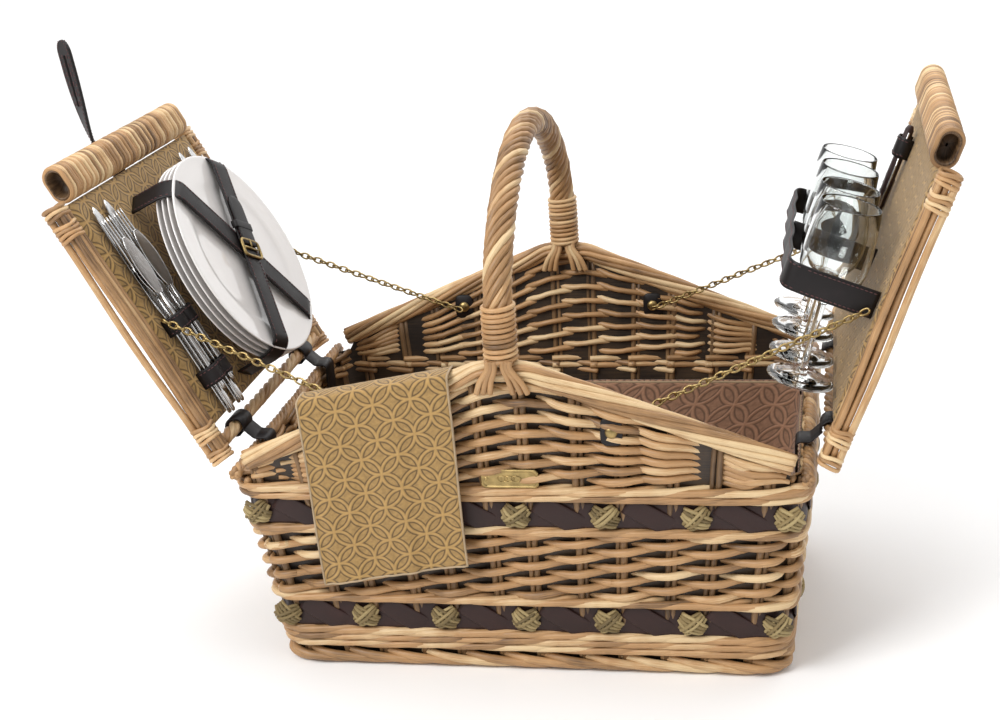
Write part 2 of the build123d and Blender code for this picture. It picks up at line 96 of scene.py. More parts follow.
class BasketColours(bpy.types.PropertyGroup):
    willow_dark: FloatVectorProperty(
        name="Willow dark", description="Darkest rods", subtype="COLOR", default=(0.060, 0.028, 0.011)
    )
    willow_mid: FloatVectorProperty(
        name="Willow", description="Most rods", subtype="COLOR", default=(0.33, 0.185, 0.080)
    )
    willow_pale: FloatVectorProperty(
        name="Willow pale", description="Palest rods", subtype="COLOR", default=(0.68, 0.50, 0.28)
    )
    leather: FloatVectorProperty(
        name="Leather", description="Strap leather", subtype="COLOR", default=(0.0075, 0.0048, 0.0050)
    )
    ribbon: FloatVectorProperty(
        name="Ribbon", description="Leather ribbon in the bands", subtype="COLOR",
        default=(0.028, 0.0105, 0.0085)
    )
    cloth: FloatVectorProperty(
        name="Cloth", description="Napkin and lid lining", subtype="COLOR", default=(0.34, 0.205, 0.066)
    )
    cloth_line: FloatVectorProperty(
        name="Cloth rings", description="Dark side of the woven rings", subtype="COLOR",
        default=(0.060, 0.030, 0.008)
    )
    liner: FloatVectorProperty(
        name="Liner", description="Liner in the right half", subtype="COLOR", default=(0.29, 0.155, 0.090)
    )
    brass: FloatVectorProperty(
        name="Brass", description="Antique brass", subtype="COLOR", default=(0.36, 0.26, 0.11)
    )
    china: FloatVectorProperty(
        name="China", description="Plate glaze", subtype="COLOR", default=(0.80, 0.77, 0.75)
    )


def sizes():
    return bpy.context.scene.basket_sizes


def colours():
    return bpy.context.scene.basket_colours


def dice(salt):
    return random.Random(sizes().seed * 1000 + salt)


# ---------------------------------------------------------------- mesh helpers


class Mesh:
    """Vertices, faces, UVs in metres and one tone per vertex, gathered before one object is made."""

    def __init__(self):
        self.verts, self.faces, self.uvs, self.tones = [], [], [], []

    def add(self, verts, faces, uvs, tone):
        start = len(self.verts)
        self.verts += verts
        self.uvs += uvs
        self.tones += [tone] * len(verts)
        self.faces += [tuple(start + i for i in face) for face in faces]

    def grid(self, rows, uvs, tone=0.5, close_u=False, close_v=False, flip=False):
        """Rows of points as quads; close_u joins each row's ends, and close_v the last row to the first."""
        count, width = len(rows), len(rows[0])
        faces = []
        for i in range(count if close_v else count - 1):
            for j in range(width if close_u else width - 1):
                a, b = i * width + j, i * width + (j + 1) % width
                c, d = ((i + 1) % count) * width + (j + 1) % width, ((i + 1) % count) * width + j
                faces.append((a, d, c, b) if flip else (a, b, c, d))
        self.add([p for row in rows for p in row], faces, [q for row in uvs for q in row], tone)

    def tube(self, path, radius, sides=7, tone=0.5, closed=False):
        """A rod along a path. radius is a number or one for each point."""
        n = len(path)
        radii = radius if isinstance(radius, (list, tuple)) else [radius] * n
        tangents = []
        for i in range(n):
            a = path[(i - 1) % n] if closed or i else path[i]
            b = path[(i + 1) % n] if closed or i < n - 1 else path[i]
            tangents.append((b - a).normalized())
        normal = tangents[0].orthogonal()
        rows, uvs, along = [], [], 0.0
        for i, (point, tangent) in enumerate(zip(path, tangents)):
            if i:
                along += (point - path[i - 1]).length
            normal = (normal - tangent * normal.dot(tangent)).normalized()
            side = tangent.cross(normal)
            rows.append([
                point + (normal * cos(a) + side * sin(a)) * radii[i]
                for a in (2 * pi * k / sides for k in range(sides))
            ])
            uvs.append([(along, k / sides * 0.02) for k in range(sides)])
        start = len(self.verts)
        self.grid(rows, uvs, tone, close_u=True, close_v=closed)
        if not closed:
            self.faces.append(tuple(start + k for k in reversed(range(sides))))
            self.faces.append(tuple(start + (n - 1) * sides + k for k in range(sides)))

    def ribbon(self, path, normals, width, thick, tone=0.5, taper=None):
        """A flat strap along a path with soft edges. normals point away from what it lies on."""
        n = len(path)
        section = ((-0.5, 0.1), (-0.47, 0.5), (-0.40, 0.62), (0, 0.66), (0.40, 0.62), (0.47, 0.5), (0.5, 0.1),
                   (0.47, -0.5), (0, -0.5), (-0.47, -0.5))
        rows, uvs, along = [], [], 0.0
        for i, point in enumerate(path):
            if i:
                along += (point - path[i - 1]).length
            tangent = (path[min(i + 1, n - 1)] - path[max(i - 1, 0)]).normalized()
            normal = (normals[i] - tangent * normals[i].dot(tangent)).normalized()
            side = tangent.cross(normal)
            w = width * (taper[i] if taper else 1.0)
            rows.append([point + side * (x * w) + normal * (z * thick) for x, z in section])
            uvs.append([(along, x * w) for x, z in section])
        start = len(self.verts)
        m = len(section)
        self.grid(rows, uvs, tone, close_u=True)
        self.faces.append(tuple(start + k for k in reversed(range(m))))
        self.faces.append(tuple(start + (n - 1) * m + k for k in range(m)))

    def lathe(self, base, axis, profile, sides=48, tone=0.5):
        """Turns (radius, height) points about an axis through base."""
        axis = axis.normalized()
        across = axis.orthogonal().normalized()
        other = axis.cross(across)
        rows, uvs = [], []
        for radius, height in profile:
            rows.append([
                base + axis * height + (across * cos(a) + other * sin(a)) * max(radius, 1e-5)
                for a in (2 * pi * k / sides for k in range(sides))
            ])
            uvs.append([(radius * cos(2 * pi * k / sides), radius * sin(2 * pi * k / sides))
                        for k in range(sides)])
        self.grid(rows, uvs, tone, close_u=True)

    def object(self, name, material, body, slot=None, replaces=(), smooth=True):
        data = bpy.data.meshes.new(name)
        data.from_pydata([tuple(v) for v in self.verts], [], self.faces)
        uv = data.uv_layers.new(name="UVMap")
        loops = [0] * len(data.loops)
        data.loops.foreach_get("vertex_index", loops)
        uv.data.foreach_set("uv", [c for i in loops for c in self.uvs[i]])
        tone = data.attributes.new("tone", "FLOAT", "POINT")
        tone.data.foreach_set("value", self.tones)
        mesh = bmesh.new()
        mesh.from_mesh(data)
        bmesh.ops.remove_doubles(mesh, verts=mesh.verts, dist=2e-6)
        bmesh.ops.recalc_face_normals(mesh, faces=mesh.faces)
        mesh.to_mesh(data)
        mesh.free()
        data.polygons.foreach_set("use_smooth", [smooth] * len(data.polygons))
        piece = bpy.data.objects.new(name, data)
        bpy.context.scene.collection.objects.link(piece)
        data.materials.append(material)
        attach(piece, body)
        if replaces:
            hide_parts(*replaces)
        return piece


def squarish(angle, power, wide, tall):
    """A point on a rectangle with rounded corners, centred on the origin."""
    c, d = cos(angle), sin(angle)
    return copysign(abs(c) ** power, c) * wide, copysign(abs(d) ** power, d) * tall


def smooth_path(points, steps=6):
    """A Catmull-Rom curve through the points."""
    n = len(points)
    out = []
    for i in range(n - 1):
        p = [points[min(max(i + k, 0), n - 1)] for k in (-1, 0, 1, 2)]
        for step in range(steps):
            t = step / steps
            out.append(0.5 * (2 * p[1] + (p[2] - p[0]) * t + (2 * p[0] - 5 * p[1] + 4 * p[2] - p[3]) * t * t
                              + (3 * p[1] - p[0] - 3 * p[2] + p[3]) * t ** 3))
    return out + [points[-1].copy()]


# ---------------------------------------------------------------- places on the basket


def half(z):
    return BASE_HALF[0] + LEAN_OUT[0] * z, BASE_HALF[1] + LEAN_OUT[1] * z


def on_wall(face, along, z, out=0.0):
    """A point on a long wall: along X, at height z, out from its outer face."""
    return Vector((along, FACES[face] * (half(z)[1] + out), z))


def around(share, z, out, corner=0.026):
    """A point on the wall at height z, share of the way round from the front's left corner."""
    hx, hy = (h + out for h in half(z))
    bx, by = BASE_HALF
    lap = (2 * bx, 2 * by)
    at = (share % 1.0) * 2 * (lap[0] + lap[1])
    if at < lap[0]:
        x, y = -hx + at / lap[0] * 2 * hx, -hy
    elif at < lap[0] + lap[1]:
        x, y = hx, -hy + (at - lap[0]) / lap[1] * 2 * hy
    elif at < 2 * lap[0] + lap[1]:
        x, y = hx - (at - lap[0] - lap[1]) / lap[0] * 2 * hx, hy
    else:
        x, y = -hx, hy - (at - 2 * lap[0] - lap[1]) / lap[1] * 2 * hy
    cx, cy = hx - corner, hy - corner
    if abs(x) > cx and abs(y) > cy:
        away = Vector((abs(x) - cx, abs(y) - cy))
        away = away.normalized() * corner if away.length > 1e-9 else away
        x, y = copysign(cx + away.x, x), copysign(cy + away.y, y)
    return Vector((x, y, z))


def lid_place(side):
    """A lid's place as a function of s along it, y across it and t out of its woven face."""
    way = WAY[side]
    hinge = Vector(JOINTS[f"{side}_lid_hinge"]["pos_m"])
    lean = radians(LEAN[side])
    along = Vector((way * sin(lean), 0, cos(lean)))
    out = Vector((way * cos(lean), 0, -sin(lean)))

    def place(s, y, t):
        return hinge + along * (s + 10 * MM) + out * (t - 7 * MM) + Vector((0, y, 0))

    return place, along, out


# ---------------------------------------------------------------- material helpers


class Nodes:
    """Short calls that build a node tree."""

    def __init__(self, name):
        self.material = bpy.data.materials.new(f"{name}_finish")
        self.material.use_nodes = True
        self.tree = self.material.node_tree
        self.shader = self.tree.nodes["Principled BSDF"]

    def link(self, source, target):
        self.tree.links.new(source, target)

    def math(self, operation, a, b=None, clamp=False):
        node = self.tree.nodes.new("ShaderNodeMath")
        node.operation, node.use_clamp = operation, clamp
        for socket, value in zip(node.inputs, (a, b)):
            if value is None:
                continue
            if isinstance(value, (int, float)):
                socket.default_value = value
            else:
                self.link(value, socket)
        return node.outputs[0]

    def coords(self, kind="Object"):
        return self.tree.nodes.new("ShaderNodeTexCoord").outputs[kind]

    def scaled(self, vector, scale):
        node = self.tree.nodes.new("ShaderNodeMapping")
        node.inputs["Scale"].default_value = scale
        self.link(vector, node.inputs["Vector"])
        return node.outputs[0]

    def noise(self, vector, scale, detail=3.0):
        node = self.tree.nodes.new("ShaderNodeTexNoise")
        node.inputs["Scale"].default_value = scale
        node.inputs["Detail"].default_value = detail
        node.inputs["Roughness"].default_value = 0.55
        self.link(vector, node.inputs["Vector"])
        return node.outputs["Fac"]

    def ramp(self, factor, stops):
        node = self.tree.nodes.new("ShaderNodeValToRGB")
        ramp = node.color_ramp
        while len(ramp.elements) < len(stops):
            ramp.elements.new(0.5)
        for element, (position, colour) in zip(ramp.elements, stops):
            element.position = position
            element.color = (*colour, 1.0)
        self.link(factor, node.inputs["Fac"])
        return node.outputs["Color"]

    def mix(self, factor, a, b):
        node = self.tree.nodes.new("ShaderNodeMix")
        node.data_type, node.blend_type = "RGBA", "MIX"
        for socket, value in ((node.inputs["Factor"], factor), (node.inputs["A"], a), (node.inputs["B"], b)):
            if isinstance(value, (int, float)):
                socket.default_value = value
            elif isinstance(value, (tuple, list)):
                socket.default_value = (*value, 1.0)
            else:
                self.link(value, socket)
        for socket, value in ((node.inputs[6], a), (node.inputs[7], b)):
            if isinstance(value, (tuple, list)):
                socket.default_value = (*value, 1.0)
            elif not isinstance(value, (int, float)):
                self.link(value, socket)
        return node.outputs[2]

    def bump(self, height, strength, distance):
        node = self.tree.nodes.new("ShaderNodeBump")
        node.inputs["Strength"].default_value = strength
        node.inputs["Distance"].default_value = distance
        self.link(height, node.inputs["Height"])
        self.link(node.outputs[0], self.shader.inputs["Normal"])

    def tone(self):
        node = self.tree.nodes.new("ShaderNodeAttribute")
        node.attribute_name = "tone"
        return node.outputs["Fac"]

    def set(self, **values):
        for name, value in values.items():
            socket = self.shader.inputs[name.replace("_", " ")]
            if isinstance(value, (int, float)):
                socket.default_value = value
            elif isinstance(value, (tuple, list)):
                socket.default_value = (*value, 1.0)
            else:
                self.link(value, socket)
        return self.material


def shade(colour, factor):
    return tuple(min(1.0, c * factor) for c in colour)


def willow_material(name="willow", dark=1.0):
    """Stained willow: each rod has its own tone, with streaks along it, dirt and a satin skin."""
    n = Nodes(name)
    c = colours()
    along = n.scaled(n.coords("UV"), (9, 260, 1))
    streak = n.noise(along, 5.0, 4.0)
    blotch = n.noise(n.coords("Object"), 22.0, 3.0)
    value = n.math("ADD", n.math("MULTIPLY", n.tone(), 0.72), n.math("MULTIPLY", streak, 0.80))
    value = n.math("SUBTRACT", n.math("ADD", value, n.math("MULTIPLY", blotch, 0.70)), 0.55, clamp=True)
    colour = n.ramp(value, [
        (0.10, shade(c.willow_dark, dark)),
        (0.40, shade(c.willow_mid, dark)),
        (0.64, shade(c.willow_mid, 1.4 * dark)),
        (0.92, shade(c.willow_pale, dark)),
    ])
    n.bump(streak, 0.35, 0.0006)
    rough = n.math("ADD", n.math("MULTIPLY", streak, 0.25), 0.36)
    return n.set(Base_Color=colour, Roughness=rough, Specular_IOR_Level=0.45, Coat_Weight=0.10,
                 Coat_Roughness=0.35)


def leather_material(name, colour, edge=2.2):
    """Smooth leather with a fine grain, rubbed lighter in places."""
    n = Nodes(name)
    fine = n.noise(n.coords("Object"), 900.0, 2.0)
    worn = n.noise(n.coords("Object"), 28.0, 4.0)
    base = n.ramp(worn, [(0.30, shade(colour, 0.75)), (0.62, tuple(colour)), (0.82, shade(colour, edge))])
    n.bump(fine, 0.25, 0.0004)
    rough = n.math("ADD", n.math("MULTIPLY", worn, 0.22), 0.38)
    return n.set(Base_Color=base, Roughness=rough, Specular_IOR_Level=0.36)


RING_REACH = 0.7071  # ring radius over the lattice pitch: rings meet where they cross


def ring_cloth_material(name, colour, line, pitch=0.0245):
    """Jacquard cloth: a diagonal grid of interlocking rings over a fine weave, from UVs in metres."""
    n = Nodes(name)
    split = n.tree.nodes.new("ShaderNodeSeparateXYZ")
    n.link(n.coords("UV"), split.inputs[0])
    u, v = split.outputs[0], split.outputs[1]
    diag = 1 / sqrt(2)
    a = n.math("MULTIPLY", n.math("ADD", u, v), diag / pitch)
    b = n.math("MULTIPLY", n.math("SUBTRACT", u, v), diag / pitch)

    def fold(x):
        return n.math("ABSOLUTE", n.math("SUBTRACT", n.math("FRACT", n.math("ADD", x, 0.5)), 0.5))

    fa, fb = fold(a), fold(b)
    near = None
    for ca, cb in ((0, 0), (1, 0), (0, 1)):
        da, db = n.math("SUBTRACT", fa, float(ca)), n.math("SUBTRACT", fb, float(cb))
        distance = n.math("SQRT", n.math("ADD", n.math("MULTIPLY", da, da), n.math("MULTIPLY", db, db)))
        off = n.math("ABSOLUTE", n.math("SUBTRACT", distance, RING_REACH))
        near = off if near is None else n.math("MINIMUM", near, off)
    band = n.math("SUBTRACT", 1.0, n.math("DIVIDE", near, 0.070), clamp=True)
    aside = n.math("ABSOLUTE", n.math("SUBTRACT", near, 0.085))
    outline = n.math("SUBTRACT", 1.0, n.math("DIVIDE", aside, 0.045), clamp=True)
    weave_u = n.math("SINE", n.math("MULTIPLY", u, 5200.0))
    weave_v = n.math("SINE", n.math("MULTIPLY", v, 5200.0))
    thread = n.math("MULTIPLY", weave_u, weave_v)
    mottled = n.noise(n.coords("UV"), 240.0, 3.0)
    base = n.ramp(mottled, [(0.3, shade(colour, 0.78)), (0.7, shade(colour, 1.18))])
    base = n.mix(n.math("MULTIPLY", band, 0.60), base, shade(colour, 1.5))
    base = n.mix(n.math("MULTIPLY", outline, 0.95), base, tuple(line))
    height = n.math("ADD", n.math("MULTIPLY", band, 0.8), n.math("MULTIPLY", thread, 0.15))
    height = n.math("ADD", height, n.math("MULTIPLY", mottled, 0.15))
    n.bump(height, 0.55, 0.0010)
    return n.set(Base_Color=base, Roughness=0.72, Sheen_Weight=0.25, Sheen_Roughness=0.4)


def metal_material(name, colour, rough, stain=0.35):
    n = Nodes(name)
    mottled = n.noise(n.coords("Object"), 160.0, 4.0)
    base = n.ramp(mottled, [(0.28, shade(colour, 1 - stain)), (0.75, shade(colour, 1 + stain))])
    roughness = n.math("ADD", n.math("MULTIPLY", mottled, 0.16), rough)
    return n.set(Base_Color=base, Metallic=1.0, Roughness=roughness)


def china_material():
    n = Nodes("china")
    c = colours().china
    haze = n.noise(n.coords("Object"), 9.0, 2.0)
    base = n.ramp(haze, [(0.3, shade(c, 0.97)), (0.7, tuple(c))])
    return n.set(Base_Color=base, Roughness=0.14, Coat_Weight=0.6, Coat_Roughness=0.04)


def glass_material():
    n = Nodes("clear_glass")
    smear = n.noise(n.coords("Object"), 60.0, 2.0)
    rough = n.math("MULTIPLY", smear, 0.03)
    return n.set(Base_Color=(0.97, 0.985, 0.98), Roughness=rough, Transmission_Weight=1.0, IOR=1.46)


def grass_material():
    n = Nodes("seagrass")
    streak = n.noise(n.scaled(n.coords("UV"), (40, 500, 1)), 6.0, 4.0)
    value = n.math("ADD", n.math("MULTIPLY", n.tone(), 0.6), n.math("MULTIPLY", streak, 0.5), clamp=True)
    base = n.ramp(value,
                  [(0.15, (0.055, 0.038, 0.014)), (0.5, (0.22, 0.155, 0.062)), (0.85, (0.42, 0.32, 0.15))])
    n.bump(streak, 0.5, 0.0006)
    return n.set(Base_Color=base, Roughness=0.7)


def material(name):
    """A shared material, made the first time that it is asked for."""
    if f"{name}_finish" in bpy.data.materials:
        return bpy.data.materials[f"{name}_finish"]
    c = colours()
    return {
        "willow": lambda: willow_material("willow"),
        # willow_shade and shadow are darkened copies of the willow: painted shade for parts behind or under the rods
        "willow_shade": lambda: willow_material("willow_shade", 0.50),
        "cane": lambda: willow_material("cane", 1.12),
        "shadow": lambda: willow_material("shadow", 0.16),
        "leather": lambda: leather_material("leather", tuple(c.leather)),
        "ribbon": lambda: leather_material("ribbon", tuple(c.ribbon), 1.5),
        "cloth": lambda: ring_cloth_material("cloth", tuple(c.cloth), tuple(c.cloth_line)),
        "liner": lambda: ring_cloth_material("liner", tuple(c.liner), shade(c.liner, 0.35), 0.030),
        "brass": lambda: metal_material("brass", tuple(c.brass), 0.30),
        "steel": lambda: metal_material("steel", (0.62, 0.62, 0.62), 0.10, 0.06),
        "china": china_material,
        "clear_glass": glass_material,
        "seagrass": grass_material,
        "piping": lambda: leather_material("piping", (0.42, 0.31, 0.19), 1.2),
        "thread": lambda: leather_material("thread", (0.12, 0.05, 0.05), 1.3),
    }[name]()


# ---------------------------------------------------------------- the woven body


class BASKET_OT_walls(bpy.types.Operator):
    """Weave the four walls: stakes, slanting rows, waling, the foot and the gables"""

    bl_idname = "basket.walls"
    bl_label = "Weave walls"

    def execute(self, context):
        self.draw = dice(1)
        self.count = sizes().stakes - sizes().stakes % 2
        rods, stakes = Mesh(), Mesh()
        self.set_stakes(stakes)
        self.foot(rods)
        low, high = BANDS["lower"], BANDS["upper"]
        for z in (0.0240, 0.0315, 0.0385, low[1] + 0.0045, high[0] - 0.0045, high[1] + 0.0050,
                  high[1] + 0.0120):
            self.wale(rods, z)
        self.rows(rods, low[1] + 0.0120, high[0] - 0.0090)
        self.end_rows(rods, high[1] + 0.0180, END_RIM_TOP - 0.0100)
        for face in FACES:
            self.gable(rods, face, high[1] + 0.0170)
        rods.object("wall_weave", material("willow"), "basket", "willow",
                    ("wall_front", "wall_back", "wall_left", "wall_right"))
        # the stakes take the darkened willow: painted shade where they stand behind the rows
        stakes.object("wall_stakes", material("willow_shade"), "basket", "willow")
        # the middle sheet takes the shadow willow: painted shade behind the rods
        self.core().object("wall_shade_sheet", material("shadow"), "basket", "willow")
        return {"FINISHED"}

    def core(self):
        """An opaque sheet in the middle of the wall, so that no light shows through the weave; its near-black colour
        is painted shade behind the rods.
        """
        mesh = Mesh()
        rows, uvs = [], []
        for i in range(161):
            row, uv = [], []
            for k in range(9):
                place = around(i / 160, 0.22, 0)
                head = PEAK - SLOPE * abs(place.x) - 0.010 if abs(place.x) < 0.243 else END_RIM_TOP - 0.006
                z = 0.006 + (head - 0.006) * k / 8
                row.append(around(i / 160, z, -WALL * 0.62))
                uv.append((i * 0.005, z))
            rows.append(row)
            uvs.append(uv)
        mesh.grid(rows, uvs, 0.0)
        return mesh

    def place(self, step, z, out):
        """A point step stakes along from the first one, out from the middle of the wall."""
        return around((step + 0.5) / self.count, z, -WALL / 2 + out)

    def set_stakes(self, mesh):
        """Upright pairs, from the ground to just under the rims."""
        s, draw = sizes(), self.draw
        for i in range(self.count):
            top = self.place(i, 0.22, 0)
            head = PEAK - SLOPE * abs(top.x) - 0.012 if abs(top.x) < 0.243 else END_RIM_TOP - 0.008
            for aside, radius in ((0.0, s.stake), (0.13 if i % 2 else -0.13, s.stake * 0.7)):
                path = [self.place(i + aside, 0.004 + (head - 0.004) * k / 12, draw.uniform(-1, 1) * 0.0005)
                        for k in range(13)]
                mesh.tube(path, radius * draw.uniform(0.85, 1.1), 8, draw.uniform(0.1, 0.6))

    def stroke(self, mesh, points, radius, tone):
        """One rod end, tapering where it tucks behind."""
        path = smooth_path(points, 5)
        last = len(path) - 1
        radii = [radius * (0.62 + 0.38 * sin(pi * (0.08 + 0.84 * k / last)) ** 0.6) for k in range(last + 1)]
        mesh.tube(path, radii, 8, tone)

    def foot(self, mesh):
        """The border round the foot: every rod leans down over the next two stakes."""
        draw = self.draw
        for i in range(self.count):
            tone = draw.uniform(0.25, 0.95)
            self.stroke(mesh, [self.place(i - 0.1, 0.0150, -0.002), self.place(i + 0.5, 0.0115, 0.0040),
                               self.place(i + 1.2, 0.0080, 0.0052), self.place(i + 2.0, 0.0052, 0.0030),
                               self.place(i + 2.5, 0.0048, -0.003)], 0.0041, tone)
            self.stroke(mesh, [self.place(i + 0.1, 0.0040, -0.004), self.place(i + 0.7, 0.0040, 0.0010),
                               self.place(i + 1.5, 0.0040, -0.002)], 0.0038, tone)

    def wale(self, mesh, z):
        """A three-rod wale: each rod rises over two stakes and tucks behind the third."""
        draw = self.draw
        for i in range(self.count):
            lift = draw.uniform(-1, 1) * 0.0005
            points = [self.place(i + f, z + lift + rise, out) for f, rise, out in (
                (-0.1, -0.0034, -0.0040), (0.5, -0.0022, 0.0022), (1.1, -0.0006, 0.0052),
                (1.9, 0.0010, 0.0048),
                (2.5, 0.0024, 0.0010), (3.1, 0.0034, -0.0042))]
            self.stroke(mesh, points, 0.0036 * draw.uniform(0.9, 1.08), draw.uniform(0.15, 1.0))

    def woven(self, first, last, flip, height):
        """Points of a row, in front of every second stake and behind the others, rising in front."""
        s, draw = sizes(), self.draw
        points, radii = [], []
        steps = 8
        for k in range(int(round((last - first) * steps)) + 1):
            f = first + k / steps
            phase = pi * (f + flip)
            swing = cos(phase)
            rise = 0.0019 * sin(phase)
            points.append(self.place(f, height(f) + rise + draw.uniform(-1, 1) * 0.0002, 0.0050 * swing))
            radii.append(s.rod * (0.92 + 0.16 * swing))
        return points, radii

    def rows(self, mesh, low, high):
        count = round((high - low) / sizes().row)
        for i in range(count + 1):
            z = low + (high - low) * i / count
            # a row is several rods, end to end, and each has its own tone
            joint = self.draw.randrange(4)
            start = joint
            while start < self.count + joint:
                end = min(start + self.draw.choice((4, 6, 8)), self.count + joint)
                points, radii = self.woven(start - 0.3, end + 0.3, i % 2, lambda f, z=z: z)
                mesh.tube(points, [r * self.draw.uniform(0.99, 1.0) for r in radii], 8,
                          self.draw.uniform(0.05, 1.0))
                start = end

    def end_rows(self, mesh, low, high):
        """Short rows over the wale on the two end walls."""
        bx, by = BASE_HALF
        lap = 4 * (bx + by)
        for start in (2 * bx, 4 * bx + 2 * by):
            first, last = start / lap * self.count - 0.5, (start + 2 * by) / lap * self.count - 0.5
            for i, z in enumerate((low, high)):
                points, radii = self.woven(first - 0.3, last + 0.3, i % 2, lambda f, z=z: z)
                mesh.tube(points, radii, 8, self.draw.uniform(0.1, 0.9))

    def gable(self, mesh, face, bottom):
        """Rows that fan from level over the wale to the slope under the rim; some end part way."""
        s, draw = sizes(), self.draw
        pitch = 2 * BASE_HALF[0] / (self.count * BASE_HALF[0] / (BASE_HALF[0] + BASE_HALF[1]) / 2)
        full = PEAK - 0.019 - bottom
        rows = round(full / (s.row * 1.12))
        for k in range(1, rows + 1):
            share = k / (rows + 0.4)
            if k % 2:
                reach = 0.150
            elif k % 4:
                reach = 0.226
            else:
                reach = 0.246
            reach -= draw.uniform(0, 0.012)
            steps = int(2 * reach / (pitch / 8))
            points, radii = [], []
            for i in range(steps + 1):
                x = -reach + 2 * reach * i / steps
                height = PEAK - SLOPE * max(abs(x), 0.02) - 0.019 - bottom
                phase = pi * (x / pitch + 0.5 + k)
                swing = cos(phase)
                tuck = min(1.0, (reach - abs(x)) / 0.012)
                z = bottom + height * share + 0.0019 * sin(phase) * FACES[face] * -1
                points.append(on_wall(face, x, z + draw.uniform(-1, 1) * 0.0002,
                                      -WALL / 2 + 0.0050 * swing * tuck))
                radii.append(s.rod * (0.92 + 0.16 * swing) * (0.7 + 0.3 * tuck))
            mesh.tube(points, radii, 8, draw.uniform(0.05, 1.0))


class BASKET_OT_base(bpy.types.Operator):
    """Weave the flat base: sticks across and rods between them"""

    bl_idname = "basket.base"
    bl_label = "Weave base"

    def execute(self, context):
        s = sizes()
        draw = dice(2)
        low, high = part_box("base_panel")
        base = Mesh()
        z = (low.z + high.z) / 2
        inset = 0.006
        sticks = 9
        for i in range(sticks):
            y = low.y + inset + (high.y - low.y - 2 * inset) * i / (sticks - 1)
            path = [Vector((low.x + inset + (high.x - low.x - 2 * inset) * k / 12, y, z)) for k in range(13)]
            base.tube(path, s.stake * 1.1, 8, draw.uniform(0.2, 0.7))
        pitch = (high.y - low.y - 2 * inset) / (sticks - 1)
        rows = int((high.x - low.x - 2 * inset) / (s.rod * 2.02))
        for i in range(rows):
            x = low.x + inset + (high.x - low.x - 2 * inset) * (i + 0.5) / rows
            points = []
            for k in range(2 * sticks - 1):
                y = low.y + inset + pitch * k / 2
                side = 0 if k % 2 else (1 if (k // 2 + i) % 2 else -1)
                points.append(Vector((x, y, z + side * s.rod * 0.95)))
            base.tube(smooth_path(points, 3), s.rod * 0.75, 6, draw.uniform(0.15, 0.8))
        base.object("base_weave", material("willow"), "basket", "willow", ("base_panel",))
        return {"FINISHED"}


def bundle(mesh, path, normals, spread, rods, radius, turns, draw, tone=(0.15, 0.9), flat=1.0):
    """Rods twisted round a common line, as in a rim or a handle."""
    n = len(path)
    for k in range(rods):
        angle0 = 2 * pi * k / rods
        points = []
        for i, (point, normal) in enumerate(zip(path, normals)):
            tangent = (path[min(i + 1, n - 1)] - path[max(i - 1, 0)]).normalized()
            side = tangent.cross(normal).normalized()
            up = side.cross(tangent).normalized()
            angle = angle0 + 2 * pi * turns * i / (n - 1)
            points.append(point + (side * cos(angle) * spread * flat + up * (sin(angle) * spread)))
        mesh.tube(points, radius * draw.uniform(0.88, 1.08), 8, draw.uniform(*tone))


def line(points, step=0.006):
    """The straight runs between the points, divided evenly."""
    out = []
    for a, b in zip(points, points[1:]):
        count = max(1, round((b - a).length / step))
        out += [a.lerp(b, i / count) for i in range(count)]
    return out + [points[-1].copy()]


class BASKET_OT_rims(bpy.types.Operator):
    """Twist the sloping long rims and the two end rims from rods"""

    bl_idname = "basket.rims"
    bl_label = "Twist rims"

    def execute(self, context):
        draw = dice(3)
        deep = 0.018
        for face, side in FACES.items():
            rim = Mesh()
            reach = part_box(f"rim_{face}")[1].x
            corners = []
            for x in (-reach, -0.020, 0.020, reach):
                z = PEAK - SLOPE * max(abs(x), 0.020) - deep / 2
                corners.append(on_wall(face, x, z, -WALL / 2))
            path = smooth_path(line(corners, 0.02), 4)
            out = Vector((0, side, 0))
            normals = [out] * len(path)
            # long rods turning slowly round the edge, over a core of darker rods, painted shade in the gaps between
            # them
            bundle(rim, path, normals, 0.0060, 8, 0.0031, 1.6, draw, flat=1.12, tone=(0.15, 1.0))
            bundle(rim, path, normals, 0.0024, 4, 0.0030, 1.6, draw, tone=(0.0, 0.3))
            rim.object(f"rim_{face}_rods", material("willow"), "basket", "willow", (f"rim_{face}",))
        for name, way in WAY.items():
            rim = Mesh()
            low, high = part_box(f"rim_{name}")
            z = (low.z + high.z) / 2
            hx = half(z)[0] - WALL / 2
            path = line([Vector((way * hx, low.y + 0.004, z)), Vector((way * hx, high.y - 0.004, z))], 0.005)
            bundle(rim, path, [Vector((0, 0, 1))] * len(path), 0.0032, 5, 0.0030, 7, draw)
            rim.object(f"rim_{name}_rods", material("willow"), "basket", "willow", (f"rim_{name}",))
        return {"FINISHED"}


